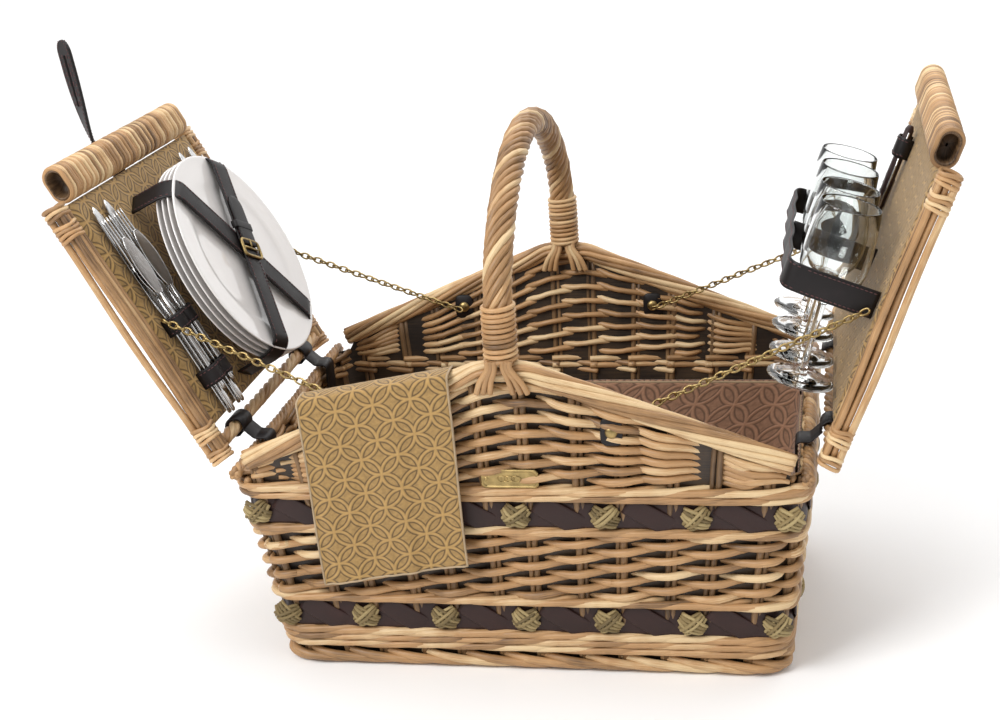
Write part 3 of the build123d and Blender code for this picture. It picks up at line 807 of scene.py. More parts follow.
class BASKET_OT_bands(bpy.types.Operator):
    """Plait the leather ribbon round both bands and tie the seagrass knots"""

    bl_idname = "basket.bands"
    bl_label = "Plait bands"

    def execute(self, context):
        draw = dice(4)
        for name, (low, high) in BANDS.items():
            ribbon = Mesh()
            mid = (low + high) / 2
            steps = 200
            path = [around(i / steps, mid, -0.0030) for i in range(steps + 1)]
            normals = [(around(i / steps, mid, 0.02) - around(i / steps, mid,
                                                              0.0)).normalized() for i in range(steps + 1)]
            ribbon.ribbon(path, normals, high - low - 0.001, 0.0016, 0.15)
            pitch = {"upper": 0.081, "lower": 0.077}[name]
            for face, side in FACES.items():
                for i in range(8):
                    x = (i - 3.5) * pitch
                    if abs(x) < half(mid)[0] - 0.012:
                        self.lace(ribbon, lambda f, z, out: on_wall(face, f, z, out), x, (low, high), side,
                                  draw)
            for way in (-1, 1):
                for i in range(4):
                    y = (i - 1.5) * pitch

                    def on_end(f, z, out, way=way):
                        return Vector((way * (half(z)[0] + out), f, z))

                    self.lace(ribbon, on_end, y, (low, high), -way, draw)
            ribbon.object(f"band_{name}_ribbon", material("ribbon"), "basket", "leather_ribbon",
                          (f"leather_band_{name}",))
            knots = Mesh()
            for face in FACES:
                for i in range(7):
                    x = (i - 3) * pitch
                    press = 0.55 if face == "front" and -0.20 < x < -0.03 and name == "upper" else 1.0
                    self.knot(knots, on_wall(face, x, mid, -0.001), Vector((1, 0, 0)),
                              Vector((0, FACES[face], 0)), draw,
                              press)
            for way in (-1, 1):
                for i in range(3):
                    y = (i - 1) * pitch
                    at = Vector((way * (half(mid)[0] - 0.001), y, mid))
                    self.knot(knots, at, Vector((0, 1, 0)), Vector((way, 0, 0)), draw)
            knots.object(f"knots_{name}", material("seagrass"), "basket", "seagrass",
                         (f"seagrass_knots_{name}",))
        return {"FINISHED"}

    def lace(self, mesh, at, middle, span, side, draw):
        """The ribbon where it crosses from the band's upper edge down to its lower one."""
        low, high = span
        run = 0.021
        path, normals = [], []
        for k in range(13):
            f = k / 12 * 2 - 1
            bulge = 0.0020 * (1 - f * f) - 0.0022
            z = (low + high) / 2 - f * (high - low) / 2
            path.append(at(middle + f * run * -side, z, bulge))
            normals.append((at(middle, z, 0.01) - at(middle, z, 0.0)).normalized())
        mesh.ribbon(path, normals, 0.021 * draw.uniform(0.92, 1.05), 0.0016, draw.uniform(0.45, 0.95))

    def knot(self, mesh, at, along, out, draw, press=1.0):
        """Two crossing bunches of seagrass strands, pulled into a ball, with loose ends."""
        up = Vector((0, 0, 1))
        tilt = draw.uniform(-0.25, 0.25)
        for layer, turn in enumerate((0.62, -0.62, 0.62)):
            angle = turn + tilt
            across = along * cos(angle) + up * sin(angle)
            beside = along * -sin(angle) + up * cos(angle)
            for k in ((-1.5, -0.5, 0.5, 1.5) if layer < 2 else (-0.5, 0.5)):
                points = []
                for i in range(9):
                    f = i / 4 - 1
                    bulge = 0.0044 * sqrt(max(0.0, 1 - f * f)) * sqrt(1 - (k / 2.6) ** 2)
                    lift = (bulge + 0.0013 * layer * (1 - f * f)) * press
                    points.append(at + across * (0.0125 * f * draw.uniform(0.96, 1.04))
                                  + beside * (k * 0.0041 * (1 - 0.35 * f * f)) + out * lift)
                mesh.tube(smooth_path(points, 3), 0.0017 * draw.uniform(0.85, 1.15), 7,
                          draw.uniform(0.1, 1.0))


class BASKET_OT_handle(bpy.types.Operator):
    """Twist the arch handle, bind its feet with cane and splay the ends over the rims"""

    bl_idname = "basket.handle"
    bl_label = "Twist handle"

    def execute(self, context):
        draw = dice(5)
        foot = HANDLE_SEAT
        side = Vector((1, 0, 0))
        path = [Vector((0, y, z)) for y, z in self.arch(foot)]
        rods = Mesh()
        bundle(rods, path, [side] * len(path), 0.0100, 9, 0.0033, -6.0, draw, tone=(0.05, 1.0))
        rods.object("handle_rods", material("willow"), "basket", "willow", ("handle_arch",))
        # a dark tube inside the twisted rods: painted shade in the gaps between them
        core = Mesh()
        core.tube(path, 0.0088, 16, 0.0)
        core.object("handle_core", material("willow_shade"), "basket", "willow")
        cane = Mesh()
        wraps = 11
        for way in (-1, 1):
            line_up = [p for p in path if p.y * way > 0 and p.z < foot + 0.052]
            line_up.sort(key=lambda p: p.z)
            for i in range(wraps):
                z = foot + 0.003 + 0.046 * i / (wraps - 1)
                near = min(line_up, key=lambda p: abs(p.z - z))
                ring = []
                lift = draw.uniform(-0.0004, 0.0004)
                for k in range(28):
                    angle = 2 * pi * k / 28
                    ring.append(Vector((cos(angle) * 0.0134, near.y + sin(angle) * 0.0134,
                                        z + lift + 0.0010 * cos(angle))))
                cane.tube(ring, 0.0021, 8, draw.uniform(0.25, 0.95), closed=True)
        cane.object("handle_cane_wraps", material("cane"), "basket", "willow", ("handle_bindings",))
        splay = Mesh()
        for way in (-1, 1):
            for high_x, low_x in ((-0.0100, -0.022), (-0.0072, -0.016), (-0.004, -0.010), (0.004, 0.010),
                                  (0.0072, 0.017),
                                  (0.010, 0.023)):
                for out_way in (-1, 1):

                    def at(x, z, gap):
                        return Vector((x, way * (half(z)[1] - WALL / 2 + out_way * (WALL / 2 + gap)), z))

                    points = [at(high_x, 0.325, 0.0062), at(high_x, 0.318, 0.0074),
                              at(low_x * 0.8, 0.306, 0.0078),
                              at(low_x, 0.2945, 0.0060)]
                    splay.tube(smooth_path(points, 5), 0.0026, 8, draw.uniform(0.3, 0.95))
        splay.object("handle_splayed_ends", material("willow"), "basket", "willow", ("handle_spokes",))
        return {"FINISHED"}

    def arch(self, foot):
        """The middle of the handle: straight legs, tight shoulders and a wide crown."""
        leg_y, leg_top, shoulder = 0.183, 0.350, 0.105
        turn = radians(45)
        centre_y = -leg_y + shoulder
        crown_z = leg_top - abs(centre_y) * math.tan(turn)
        crown = shoulder + abs(centre_y) / cos(turn)
        points = [(-leg_y, foot + (leg_top - foot) * k / 4) for k in range(4)]
        points += [(centre_y - shoulder * cos(turn * k / 10), leg_top + shoulder * sin(turn * k / 10))
                   for k in range(10)]
        points += [(-crown * cos(turn + (pi / 2 - turn) * k / 20),
                    crown_z + crown * sin(turn + (pi / 2 - turn) * k / 20)) for k in range(21)]
        return points + [(-y, z) for y, z in reversed(points[:-1])]


# ---------------------------------------------------------------- lids

LID_END = 0.252
PANEL_END = 0.247
ROLL_AT = (0.266, 0.002)
LID_TAIL = -0.025
CHAIN_MIDDLE_GAP = 0.0078
LINING_START = 0.008
BAR_MID = 0.158
PANEL_HALF = 0.147


class BASKET_OT_lids(bpy.types.Operator):
    """Build both lids: rod bars, woven panel, cloth lining, rolled free edge and hinge bar"""

    bl_idname = "basket.lids"
    bl_label = "Build lids"

    def execute(self, context):
        for side in WAY:
            self.bars(side)
            self.panel(side)
            self.lining(side)
            self.roll(side)
            self.hinge_bar(side)
        return {"FINISHED"}

    def bars(self, side):
        """Each long edge is a bundle of rods, wrapped with cane in places."""
        draw = dice(20 if side == "left" else 21)
        place = lid_place(side)[0]
        bars, wraps = Mesh(), Mesh()
        for way in (-1, 1):
            for k in range(7):
                y, t = (k % 3 - 1) * 0.0062 + (0.003 if k // 3 == 1 else 0.0), (k // 3 * 0.0064) + 0.0036
                phase = draw.uniform(0, 6)
                tone = draw.uniform(0.1, 1.0)
                start = LID_TAIL + draw.uniform(0.004, 0.008)
                end = LID_END - draw.uniform(0.004, 0.008)
                path = []
                for i in range(29):
                    f = i / 28
                    loose = sin(pi * min(1.0, max(0.0, (f - 0.10) / 0.80))) ** 0.6
                    path.append(place(start + (end - start) * f,
                                      way * BAR_MID + y * (0.80 + 0.30 * loose) + 0.0014 * loose * sin(f * 7 + phase),
                                      t + 0.0012 * loose * cos(f * 6 + phase)))
                bars.tube(path, 0.0033 * draw.uniform(0.9, 1.08), 9, tone)
            for first, count in ((-0.0215, 3), (0.0005, 4), (0.2200, 4), (0.2420, 3)):
                for i in range(count):
                    s = first + i * 0.0041
                    ring = []
                    for k in range(28):
                        angle = 2 * pi * k / 28
                        reach = 0.0096 / max(abs(cos(angle)), abs(sin(angle))) ** 0.6
                        ring.append(place(s + 0.0008 * sin(angle * 2 + i),
                                          way * BAR_MID + cos(angle) * reach * 0.93,
                                          0.0100 + sin(angle) * reach * 0.93))
                    wraps.tube(ring, 0.0020, 7, draw.uniform(0.2, 1.0), closed=True)
        bars.object(f"lid_{side}_bar_rods", material("willow"), f"{side}_lid", "willow",
                    (f"lid_{side}_bars",))
        wraps.object(f"lid_{side}_bar_wraps", material("cane"), f"{side}_lid", "willow")

    def panel(self, side):
        """Rods woven across the lid, seen from outside."""
        draw = dice(22 if side == "left" else 23)
        place = lid_place(side)[0]
        weave = Mesh()
        first, last = LINING_START, PANEL_END
        sticks = 11
        middle = 0.0082
        for i in range(sticks):
            y = -PANEL_HALF + 0.008 + (2 * PANEL_HALF - 0.016) * i / (sticks - 1)
            path = [place(first + (last - first) * k / 14, y, middle) for k in range(15)]
            weave.tube(path, 0.0022, 7, draw.uniform(0.1, 0.6))
        rows = int((last - first) / 0.0052)
        gap = (2 * PANEL_HALF - 0.016) / (sticks - 1)
        for i in range(rows):
            s = first + (last - first) * (i + 0.5) / rows
            points = [place(s, -PANEL_HALF, middle)]
            for k in range(2 * sticks - 1):
                side_step = 0 if k % 2 else (1 if (k // 2 + i) % 2 else -1)
                points.append(place(s + draw.uniform(-1, 1) * 0.0004, -PANEL_HALF + 0.008 + gap * k / 2,
                                    middle + 0.0022 * side_step))
            points.append(place(s, PANEL_HALF, middle))
            weave.tube(smooth_path(points, 3), 0.0024 * draw.uniform(0.85, 1.08), 7, draw.uniform(0.1, 0.95))
        weave.object(f"lid_{side}_panel_weave", material("willow"), f"{side}_lid", "willow",
                     (f"lid_{side}_weave",))

    def lining(self, side):
        """A cloth-covered board with rolled edges."""
        place = lid_place(side)[0]
        first, last = LINING_START, PANEL_END
        cover = Mesh()
        count = 44
        rows, uvs = [], []
        for i in range(count + 1):
            a = i / count * 2 - 1
            row, uv = [], []
            for j in range(count + 1):
                b = j / count * 2 - 1
                edge = min(1.0, (1 - max(abs(a), abs(b))) / 0.05)
                crown = 0.0034 * (1 - (1 - edge) ** 2) ** 0.5
                wave = 0.0005 * noise.noise(Vector((a * 5, b * 5, 1.0 if side == "left" else 7.0)))
                s = (first + last) / 2 + a * (last - first) / 2
                y = b * PANEL_HALF
                row.append(place(s, y, 0.0036 - crown + wave * edge))
                uv.append((y, s))
            rows.append(row)
            uvs.append(uv)
        cover.grid(rows, uvs)
        back, back_uv = [], []
        for i in (0, count):
            back.append([place((first + last) / 2 + (i / count * 2 - 1) * (last - first) / 2,
                               (j / count * 2 - 1) * PANEL_HALF, 0.0040) for j in range(count + 1)])
            back_uv.append([((j / count * 2 - 1) * PANEL_HALF, i * 0.005) for j in range(count + 1)])
        cover.grid(back, back_uv)
        cover.object(f"lid_{side}_lining_cloth", material("cloth"), f"{side}_lid", "liner_fabric",
                     (f"lid_{side}_lining",))

    def roll(self, side):
        """The free edge: cane wound closely round a core with hollow ends."""
        draw = dice(24 if side == "left" else 25)
        place = lid_place(side)[0]
        cane = Mesh()
        mid_s, mid_t = ROLL_AT
        long, radius, spread = 0.143, 0.0100, 0.006
        turns = int(2 * long / 0.0050)
        for i in range(turns):
            y = -long + 2 * long * (i + 0.5) / turns
            ring = []
            for k in range(26):
                angle = 2 * pi * k / 26
                push = spread if cos(angle) > 0 else -spread
                ring.append(place(mid_s + push + cos(angle) * radius, y + 0.0009 * sin(angle + i * 1.7),
                                  mid_t + sin(angle) * radius))
            cane.tube(ring, 0.0023 * draw.uniform(0.86, 1.04), 8, draw.uniform(0.1, 1.0), closed=True)
        cane.object(f"lid_{side}_roll_cane", material("cane"), f"{side}_lid", "willow", (f"lid_{side}_roll",))
        # the core is darkened willow: painted shade between the cane turns and in the hollow ends
        core = Mesh()
        for way in (-1, 1):
            rows, uvs = [], []
            for r, y in ((0.0092, 0.0), (0.0092, 0.1415), (0.0084, 0.1435), (0.0074, 0.1420), (0.0070, 0.128),
                         (0.0010, 0.127)):
                row = []
                for k in range(26):
                    angle = 2 * pi * k / 26
                    push = spread * (r / 0.0092) * (1 if cos(angle) > 0 else -1)
                    row.append(place(mid_s + push + cos(angle) * r, way * y, mid_t + sin(angle) * r))
                rows.append(row)
                uvs.append([(y, k / 26 * 0.05) for k in range(26)])
            core.grid(rows, uvs, 0.1, close_u=True)
        core.object(f"lid_{side}_roll_core", material("willow_shade"), f"{side}_lid", "willow")

    def hinge_bar(self, side):
        draw = dice(26 if side == "left" else 27)
        hinge = Vector(JOINTS[f"{side}_lid_hinge"]["pos_m"])
        bar = Mesh()
        path = [hinge + Vector((0, -0.147 + 0.294 * i / 60, 0)) for i in range(61)]
        bundle(bar, path, [Vector((0, 0, 1))] * len(path), 0.0034, 4, 0.0033, 5, draw)
        bar.object(f"lid_{side}_hinge_rods", material("willow"), f"{side}_lid", "willow",
                   (f"lid_{side}_hinge_bar",))


# ---------------------------------------------------------------- leather


def arc_path(points, radius=0.004, steps=5):
    """Straight runs whose corners are rounded to radius."""
    out = [points[0].copy()]
    for a, b, c in zip(points, points[1:], points[2:]):
        back, ahead = (a - b), (c - b)
        reach = min(radius, back.length * 0.48, ahead.length * 0.48)
        p, q = b + back.normalized() * reach, b + ahead.normalized() * reach
        out += [p.lerp(b, t).lerp(b.lerp(q, t), t) for t in (k / steps for k in range(steps + 1))]
    return out + [points[-1].copy()]


def dense(path, step=0.004):
    out = []
    for a, b in zip(path, path[1:]):
        count = max(1, int((b - a).length / step))
        out += [a.lerp(b, i / count) for i in range(count)]
    return out + [path[-1].copy()]


def strap(mesh, threads, points, normal_at, width, thick, corner=0.004, stitch=0.0034):
    """A leather strap through points, with stitches along each edge. normal_at gives outward there."""
    path = dense(arc_path(points, corner))
    normals = [normal_at(i, path) for i in range(len(path))]
    mesh.ribbon(path, normals, width, thick)
    if threads is None:
        return path
    spare, last = 0.0, len(path) - 1
    for i in range(1, last):
        spare += (path[i] - path[i - 1]).length
        if spare < stitch:
            continue
        spare = 0.0
        tangent = (path[i + 1] - path[i - 1]).normalized()
        normal = (normals[i] - tangent * normals[i].dot(tangent)).normalized()
        across = tangent.cross(normal)
        for way in (-1, 1):
            at = path[i] + across * (way * (width / 2 - 0.0028)) + normal * (thick * 0.66)
            half_stitch = tangent * 0.0012
            threads.tube([at - half_stitch - normal * 0.0003, at - half_stitch * 0.5 + normal * 0.0002,
                          at + half_stitch * 0.5 + normal * 0.0002, at + half_stitch - normal * 0.0003],
                         0.00042, 5, 0.5)
    return path


def turning_normals(centre_line):
    """Outward for a strap that goes up, across and down again: away from the side that it encloses."""

    def at(i, path):
        n = len(path)
        tangent = (path[min(i + 1, n - 1)] - path[max(i - 1, 0)]).normalized()
        return tangent.cross(centre_line).normalized()

    return at


class BASKET_OT_straps(bpy.types.Operator):
    """Cut and stitch every leather strap: plates, cutlery, glasses, hinges and the closure"""

    bl_idname = "basket.straps"
    bl_label = "Cut straps"

    def execute(self, context):
        self.plate_straps()
        self.cutlery_loops()
        self.glass_strap()
        self.cork_loop()
        self.hinge_straps()
        self.closure()
        return {"FINISHED"}

    def plate_straps(self):
        place, along, out = lid_place("left")
        across_y = Vector((0, 1, 0))
        (s0, y0), reach = PLATE_CENTRE, 0.1115
        for name, turn, level in (("lower", -30.0, -0.0485), ("upper", 30.0, -0.0515)):
            leather, threads = Mesh(), Mesh()
            angle = radians(turn)
            way = along * cos(angle) + across_y * sin(angle)
            side = out.cross(way)
            centre = place(s0, y0, 0)
            points = [centre - way * reach + out * -0.001,
                      centre - way * (reach - 0.0015) + out * (level * 0.75),
                      centre - way * (reach - 0.010) + out * level,
                      centre + way * (reach - 0.010) + out * level,
                      centre + way * (reach - 0.0015) + out * (level * 0.75),
                      centre + way * reach + out * -0.001]

            def outward(i, path, centre=centre, side=side, way=way):
                n = len(path)
                tangent = (path[min(i + 1, n - 1)] - path[max(i - 1, 0)]).normalized()
                normal = side.cross(tangent)
                return normal if normal.dot(path[i] - centre) > 0 else -normal

            strap(leather, threads, points, outward, 0.0255, 0.0020, 0.020)
            leather.object(f"plate_strap_{name}_leather", material("leather"), "left_lid", "leather",
                           (f"plate_strap_{name}",))
            threads.object(f"plate_strap_{name}_stitches", material("thread"), "left_lid", "leather")
            if name == "upper":
                self.buckle(centre, way, side, out, level)

    def buckle(self, centre, way, side, out, level):
        """A brass frame with a bar and a prong, a keeper loop and the strap's rounded tail."""
        brass = Mesh()
        at = centre + out * (level - 0.0027)
        frame_points = []
        for k in range(40):
            angle = 2 * pi * k / 40
            x, y = squarish(angle, 0.35, 0.0092, 0.0148)
            frame_points.append(at + way * x + side * y)
        brass.tube(frame_points, 0.0016, 8, 0.5, closed=True)
        brass.tube([at - side * 0.0145, at + side * 0.0145], 0.0012, 8, 0.5)
        brass.tube([at + side * 0.0004, at + way * 0.004 - out * 0.0013, at + way * 0.0102 - out * 0.0006],
                   0.0010,
                   7, 0.5)
        brass.object("plate_buckle_brass", material("brass"), "left_lid", "brass", ("plate_buckle",))
        tail = Mesh()
        # the tail goes on past the buckle over the strap and ends in a rounded tip
        path = dense([at + way * 0.004 + out * 0.0004, at + way * 0.012 - out * 0.0004,
                      at + way * 0.060 + out * 0.0004],
                     0.003)
        n = len(path)
        taper = [min(1.0, sqrt(max(0.02, 1 - max(0.0, (i - n + 5) / 4.2) ** 2))) for i in range(n)]
        tail.ribbon(path, [-out] * n, 0.0235, 0.0016, 0.5, taper=taper)
        tail.object("plate_strap_tail", material("leather"), "left_lid", "leather")
        keeper = Mesh()
        start = centre + way * 0.026 + out * (level + 0.0015)
        ring = [start + side * 0.0138, start + side * 0.0138 - out * 0.0052,
                start - side * 0.0138 - out * 0.0052,
                start - side * 0.0138]
        strap(keeper, None, ring, turning_normals(-way), 0.008, 0.0012, 0.002)
        keeper.object("plate_strap_keeper", material("leather"), "left_lid", "leather")

    def cutlery_loops(self):
        place, along, _ = lid_place("left")
        leather, threads = Mesh(), Mesh()
        for s in LOOP_S:
            for middle in (-0.109, 0.109):
                lift = -0.0172
                points = [place(s, middle - 0.0212, 0.0), place(s, middle - 0.0205, lift * 0.75),
                          place(s, middle - 0.0135, lift), place(s, middle - 0.006, lift),
                          place(s, middle, lift + 0.0042), place(s, middle + 0.006, lift),
                          place(s, middle + 0.0135, lift), place(s, middle + 0.0205, lift * 0.75),
                          place(s, middle + 0.0212, 0.0)]
                strap(leather, threads, points, turning_normals(along), 0.0175, 0.0016, 0.004, stitch=0.003)
        leather.object("cutlery_loop_leather", material("leather"), "left_lid", "leather", ("cutlery_loops",))
        threads.object("cutlery_loop_stitches", material("thread"), "left_lid", "leather")

    def glass_strap(self):
        """One long strap over the four bowls, dipping between them, sewn down at its ends and middle."""
        place, along, _ = lid_place("right")
        leather, threads = Mesh(), Mesh()
        s, face = GLASS_STRAP_S, -0.083
        points = [place(s, -0.1300, -0.001), place(s, -0.1300, -0.060), place(s, -0.1270, -0.0790)]
        for first, last in ((-0.115, -0.004), (0.004, 0.115)):
            for k in range(9):
                f = k / 8
                dip = 0.0022 * sin(pi * f * 2) ** 2
                points.append(place(s, first + (last - first) * f, face + dip))
        points += [place(s, 0.1270, -0.0790), place(s, 0.1300, -0.060), place(s, 0.1300, -0.001)]
        strap(leather, threads, points, turning_normals(-along), 0.0255, 0.0019, 0.006)
        strap(leather, None, [place(s, 0, -0.001), place(s, 0, -0.0815)], lambda i, path: Vector((0, 1, 0)),
              0.0255,
              0.0019)
        leather.object("glass_strap_leather", material("leather"), "right_lid", "leather", ("glass_strap",))
        threads.object("glass_strap_stitches", material("thread"), "right_lid", "leather")

    def cork_loop(self):
        place, along, _ = lid_place("right")
        leather, threads = Mesh(), Mesh()
        s, y = 0.214, 0.067
        points = [place(s, y - 0.0096, -0.0005), place(s, y - 0.0094, -0.010), place(s, y - 0.005, -0.0144),
                  place(s, y + 0.005, -0.0144), place(s, y + 0.0094, -0.010), place(s, y + 0.0096, -0.0005)]
        strap(leather, threads, points, turning_normals(-along), 0.0195, 0.0014, 0.004, stitch=0.003)
        leather.object("corkscrew_loop_leather", material("leather"), "right_lid", "leather",
                       ("corkscrew_loop",))
        threads.object("corkscrew_loop_stitches", material("thread"), "right_lid", "leather")

    def hinge_straps(self):
        """A leather loop round the hinge bar, over the end rim and down inside it."""
        for side, way in WAY.items():
            leather, threads = Mesh(), Mesh()
            hinge = Vector(JOINTS[f"{side}_lid_hinge"]["pos_m"])
            for y in (-0.1, 0.1):
                centre = hinge + Vector((0, y, 0))
                radius = 0.0088
                loop = [centre + Vector((way * cos(radians(a)) * radius, 0, sin(radians(a)) * radius))
                        for a in range(-118, 200, 12)]
                inside = [Vector((way * 0.2600, y, 0.2178)), Vector((way * 0.2500, y, 0.2178)),
                          Vector((way * 0.2474, y, 0.2150)), Vector((way * 0.2474, y, 0.1860))]
                strap(leather, threads, loop + inside, turning_normals(Vector((0, way, 0))), 0.0255, 0.0019,
                      0.002)
            leather.object(f"hinge_strap_{side}_leather", material("leather"), "basket", "leather",
                           (f"hinge_straps_{side}",))
            threads.object(f"hinge_strap_{side}_stitches", material("thread"), "basket", "leather")

    def closure(self):
        """The strap that buttons over the other lid: a twisted, slotted tongue standing up from the roll."""
        root = Vector(JOINTS["closure_strap_flex"]["pos_m"])
        spine = smooth_path([root, root + Vector((-0.0246, 0, 0.0368)),
                             root + Vector((-0.0404, 0, 0.1329))], 24)
        n, width, thick, turn = len(spine), 0.026, 0.0026, radians(50)
        length = sum((q - p).length for p, q in zip(spine, spine[1:]))
        across = (-1.0, -0.72, -0.36, -0.19, 0.19, 0.36, 0.72, 1.0)
        front, back, uvs, done = [], [], [], 0.0
        stitched = []
        for i, point in enumerate(spine):
            if i:
                done += (point - spine[i - 1]).length
            share = done / length
            tangent = (spine[min(i + 1, n - 1)] - spine[max(i - 1, 0)]).normalized()
            other = tangent.cross(Vector((0, 1, 0)))
            angle = turn * sin(min(1.0, share * 1.25) * pi / 2)
            wide = Vector((0, 1, 0)) * cos(angle) + other * sin(angle)
            out = tangent.cross(wide)
            over = max(0.0, done - length + width / 2) / (width / 2)
            reach = width / 2 * sqrt(max(0.004, 1 - over * over))
            front.append([point + wide * (x * reach) + out * thick / 2 for x in across])
            back.append([point + wide * (x * reach) - out * thick / 2 for x in across])
            uvs.append([(done, x * reach) for x in across])
            stitched.append((point, wide * (reach - 0.0028), out * (thick / 2 + 0.0002), share, reach))
        low, high = round(n * 0.66), round(n * 0.88)
        strap_mesh = Mesh()
        m = len(across)
        flat = [q for row in uvs for q in row]
        holes = {(i, 3) for i in range(low, high)}
        faces = []
        for i in range(n - 1):
            for j in range(m - 1):
                if (i, j) in holes:
                    continue
                faces.append((i * m + j, i * m + j + 1, (i + 1) * m + j + 1, (i + 1) * m + j))
        count = n * m
        edges = {}
        for face in faces:
            for p, q in zip(face, face[1:] + face[:1]):
                edges[tuple(sorted((p, q)))] = edges.get(tuple(sorted((p, q))), 0) + 1
        walls = [(p, q, q + count, p + count) for (p, q), used in edges.items() if used == 1]
        strap_mesh.add([v for row in front for v in row] + [v for row in back for v in row],
                       faces + [tuple(count + k for k in reversed(face)) for face in faces] + walls,
                       flat + flat, 0.5)
        strap_mesh.object("closure_strap_leather", material("leather"), "closure_strap", "leather",
                          ("closure_strap",),
                          smooth=False)
        threads = Mesh()
        for i in range(2, n - 1):
            point, aside, out, share, reach = stitched[i]
            along = (stitched[i + 1][0] - point) if i < n - 1 else point - stitched[i - 1][0]
            if reach < 0.006:
                continue
            for way in (-1, 1):
                for face in (-1, 1):
                    start = point + aside * way + out * face
                    threads.tube([start + along * 0.15, start + along * 0.75], 0.00045, 5, 0.5)
                    if low <= i < high and i % 2 == 0:
                        near = point + aside.normalized() * (way * 0.0046) + out * face
                        threads.tube([near + along * 0.15, near + along * 1.2], 0.00040, 5, 0.5)
        threads.object("closure_strap_stitches", material("thread"), "closure_strap", "leather")
        place, along, out = lid_place("left")
        tab = Mesh()
        path = dense([place(0.205, 0, 0.0122), place(0.247, 0, 0.0128)], 0.004)
        tab.ribbon(path, [out] * len(path), 0.026, 0.0022)
        tab.object("closure_tab", material("leather"), "left_lid", "leather")
        rivets = Mesh()
        for s_at in (0.211, 0.240):
            rivets.lathe(place(s_at, 0, 0.0130), out,
                         [(0.0038, 0), (0.0036, 0.0012), (0.0022, 0.0021), (0, 0.0024)], 20)
        rivets.object("closure_rivets", material("brass"), "left_lid", "brass")


# ---------------------------------------------------------------- tableware


class BASKET_OT_plates(bpy.types.Operator):
    """Turn four china plates with raised rims, stacked on the left lid"""

    bl_idname = "basket.plates"
    bl_label = "Turn plates"

    def execute(self, context):
        place, _, out = lid_place("left")
        radius = 0.108
        outline = [(0, 0.9), (58, 0.9), (61, 0.1), (64, 0.1), (66, 1.0), (74, 1.9), (84, 2.9), (98, 3.9),
                   (105, 4.5),
                   (107.6, 5.0), (108, 5.4), (107.7, 5.9), (106.4, 6.1), (104.5, 5.75), (98, 5.1), (86, 4.3),
                   (80, 3.9), (77, 3.2), (72, 2.4), (64, 2.1), (40, 2.0), (0, 2.0)]
        for i in range(4):
            plate = Mesh()
            centre = place(0.118, 0.008, -0.021 - 0.0065 * i)
            profile = [(r * MM * radius / 0.108, h * MM) for r, h in outline]
            plate.lathe(centre, -out, profile, 96)
            plate.object(f"china_plate_{i + 1}", material("china"), "left_lid", "porcelain",
                         (f"plate_{i + 1}",))
        return {"FINISHED"}


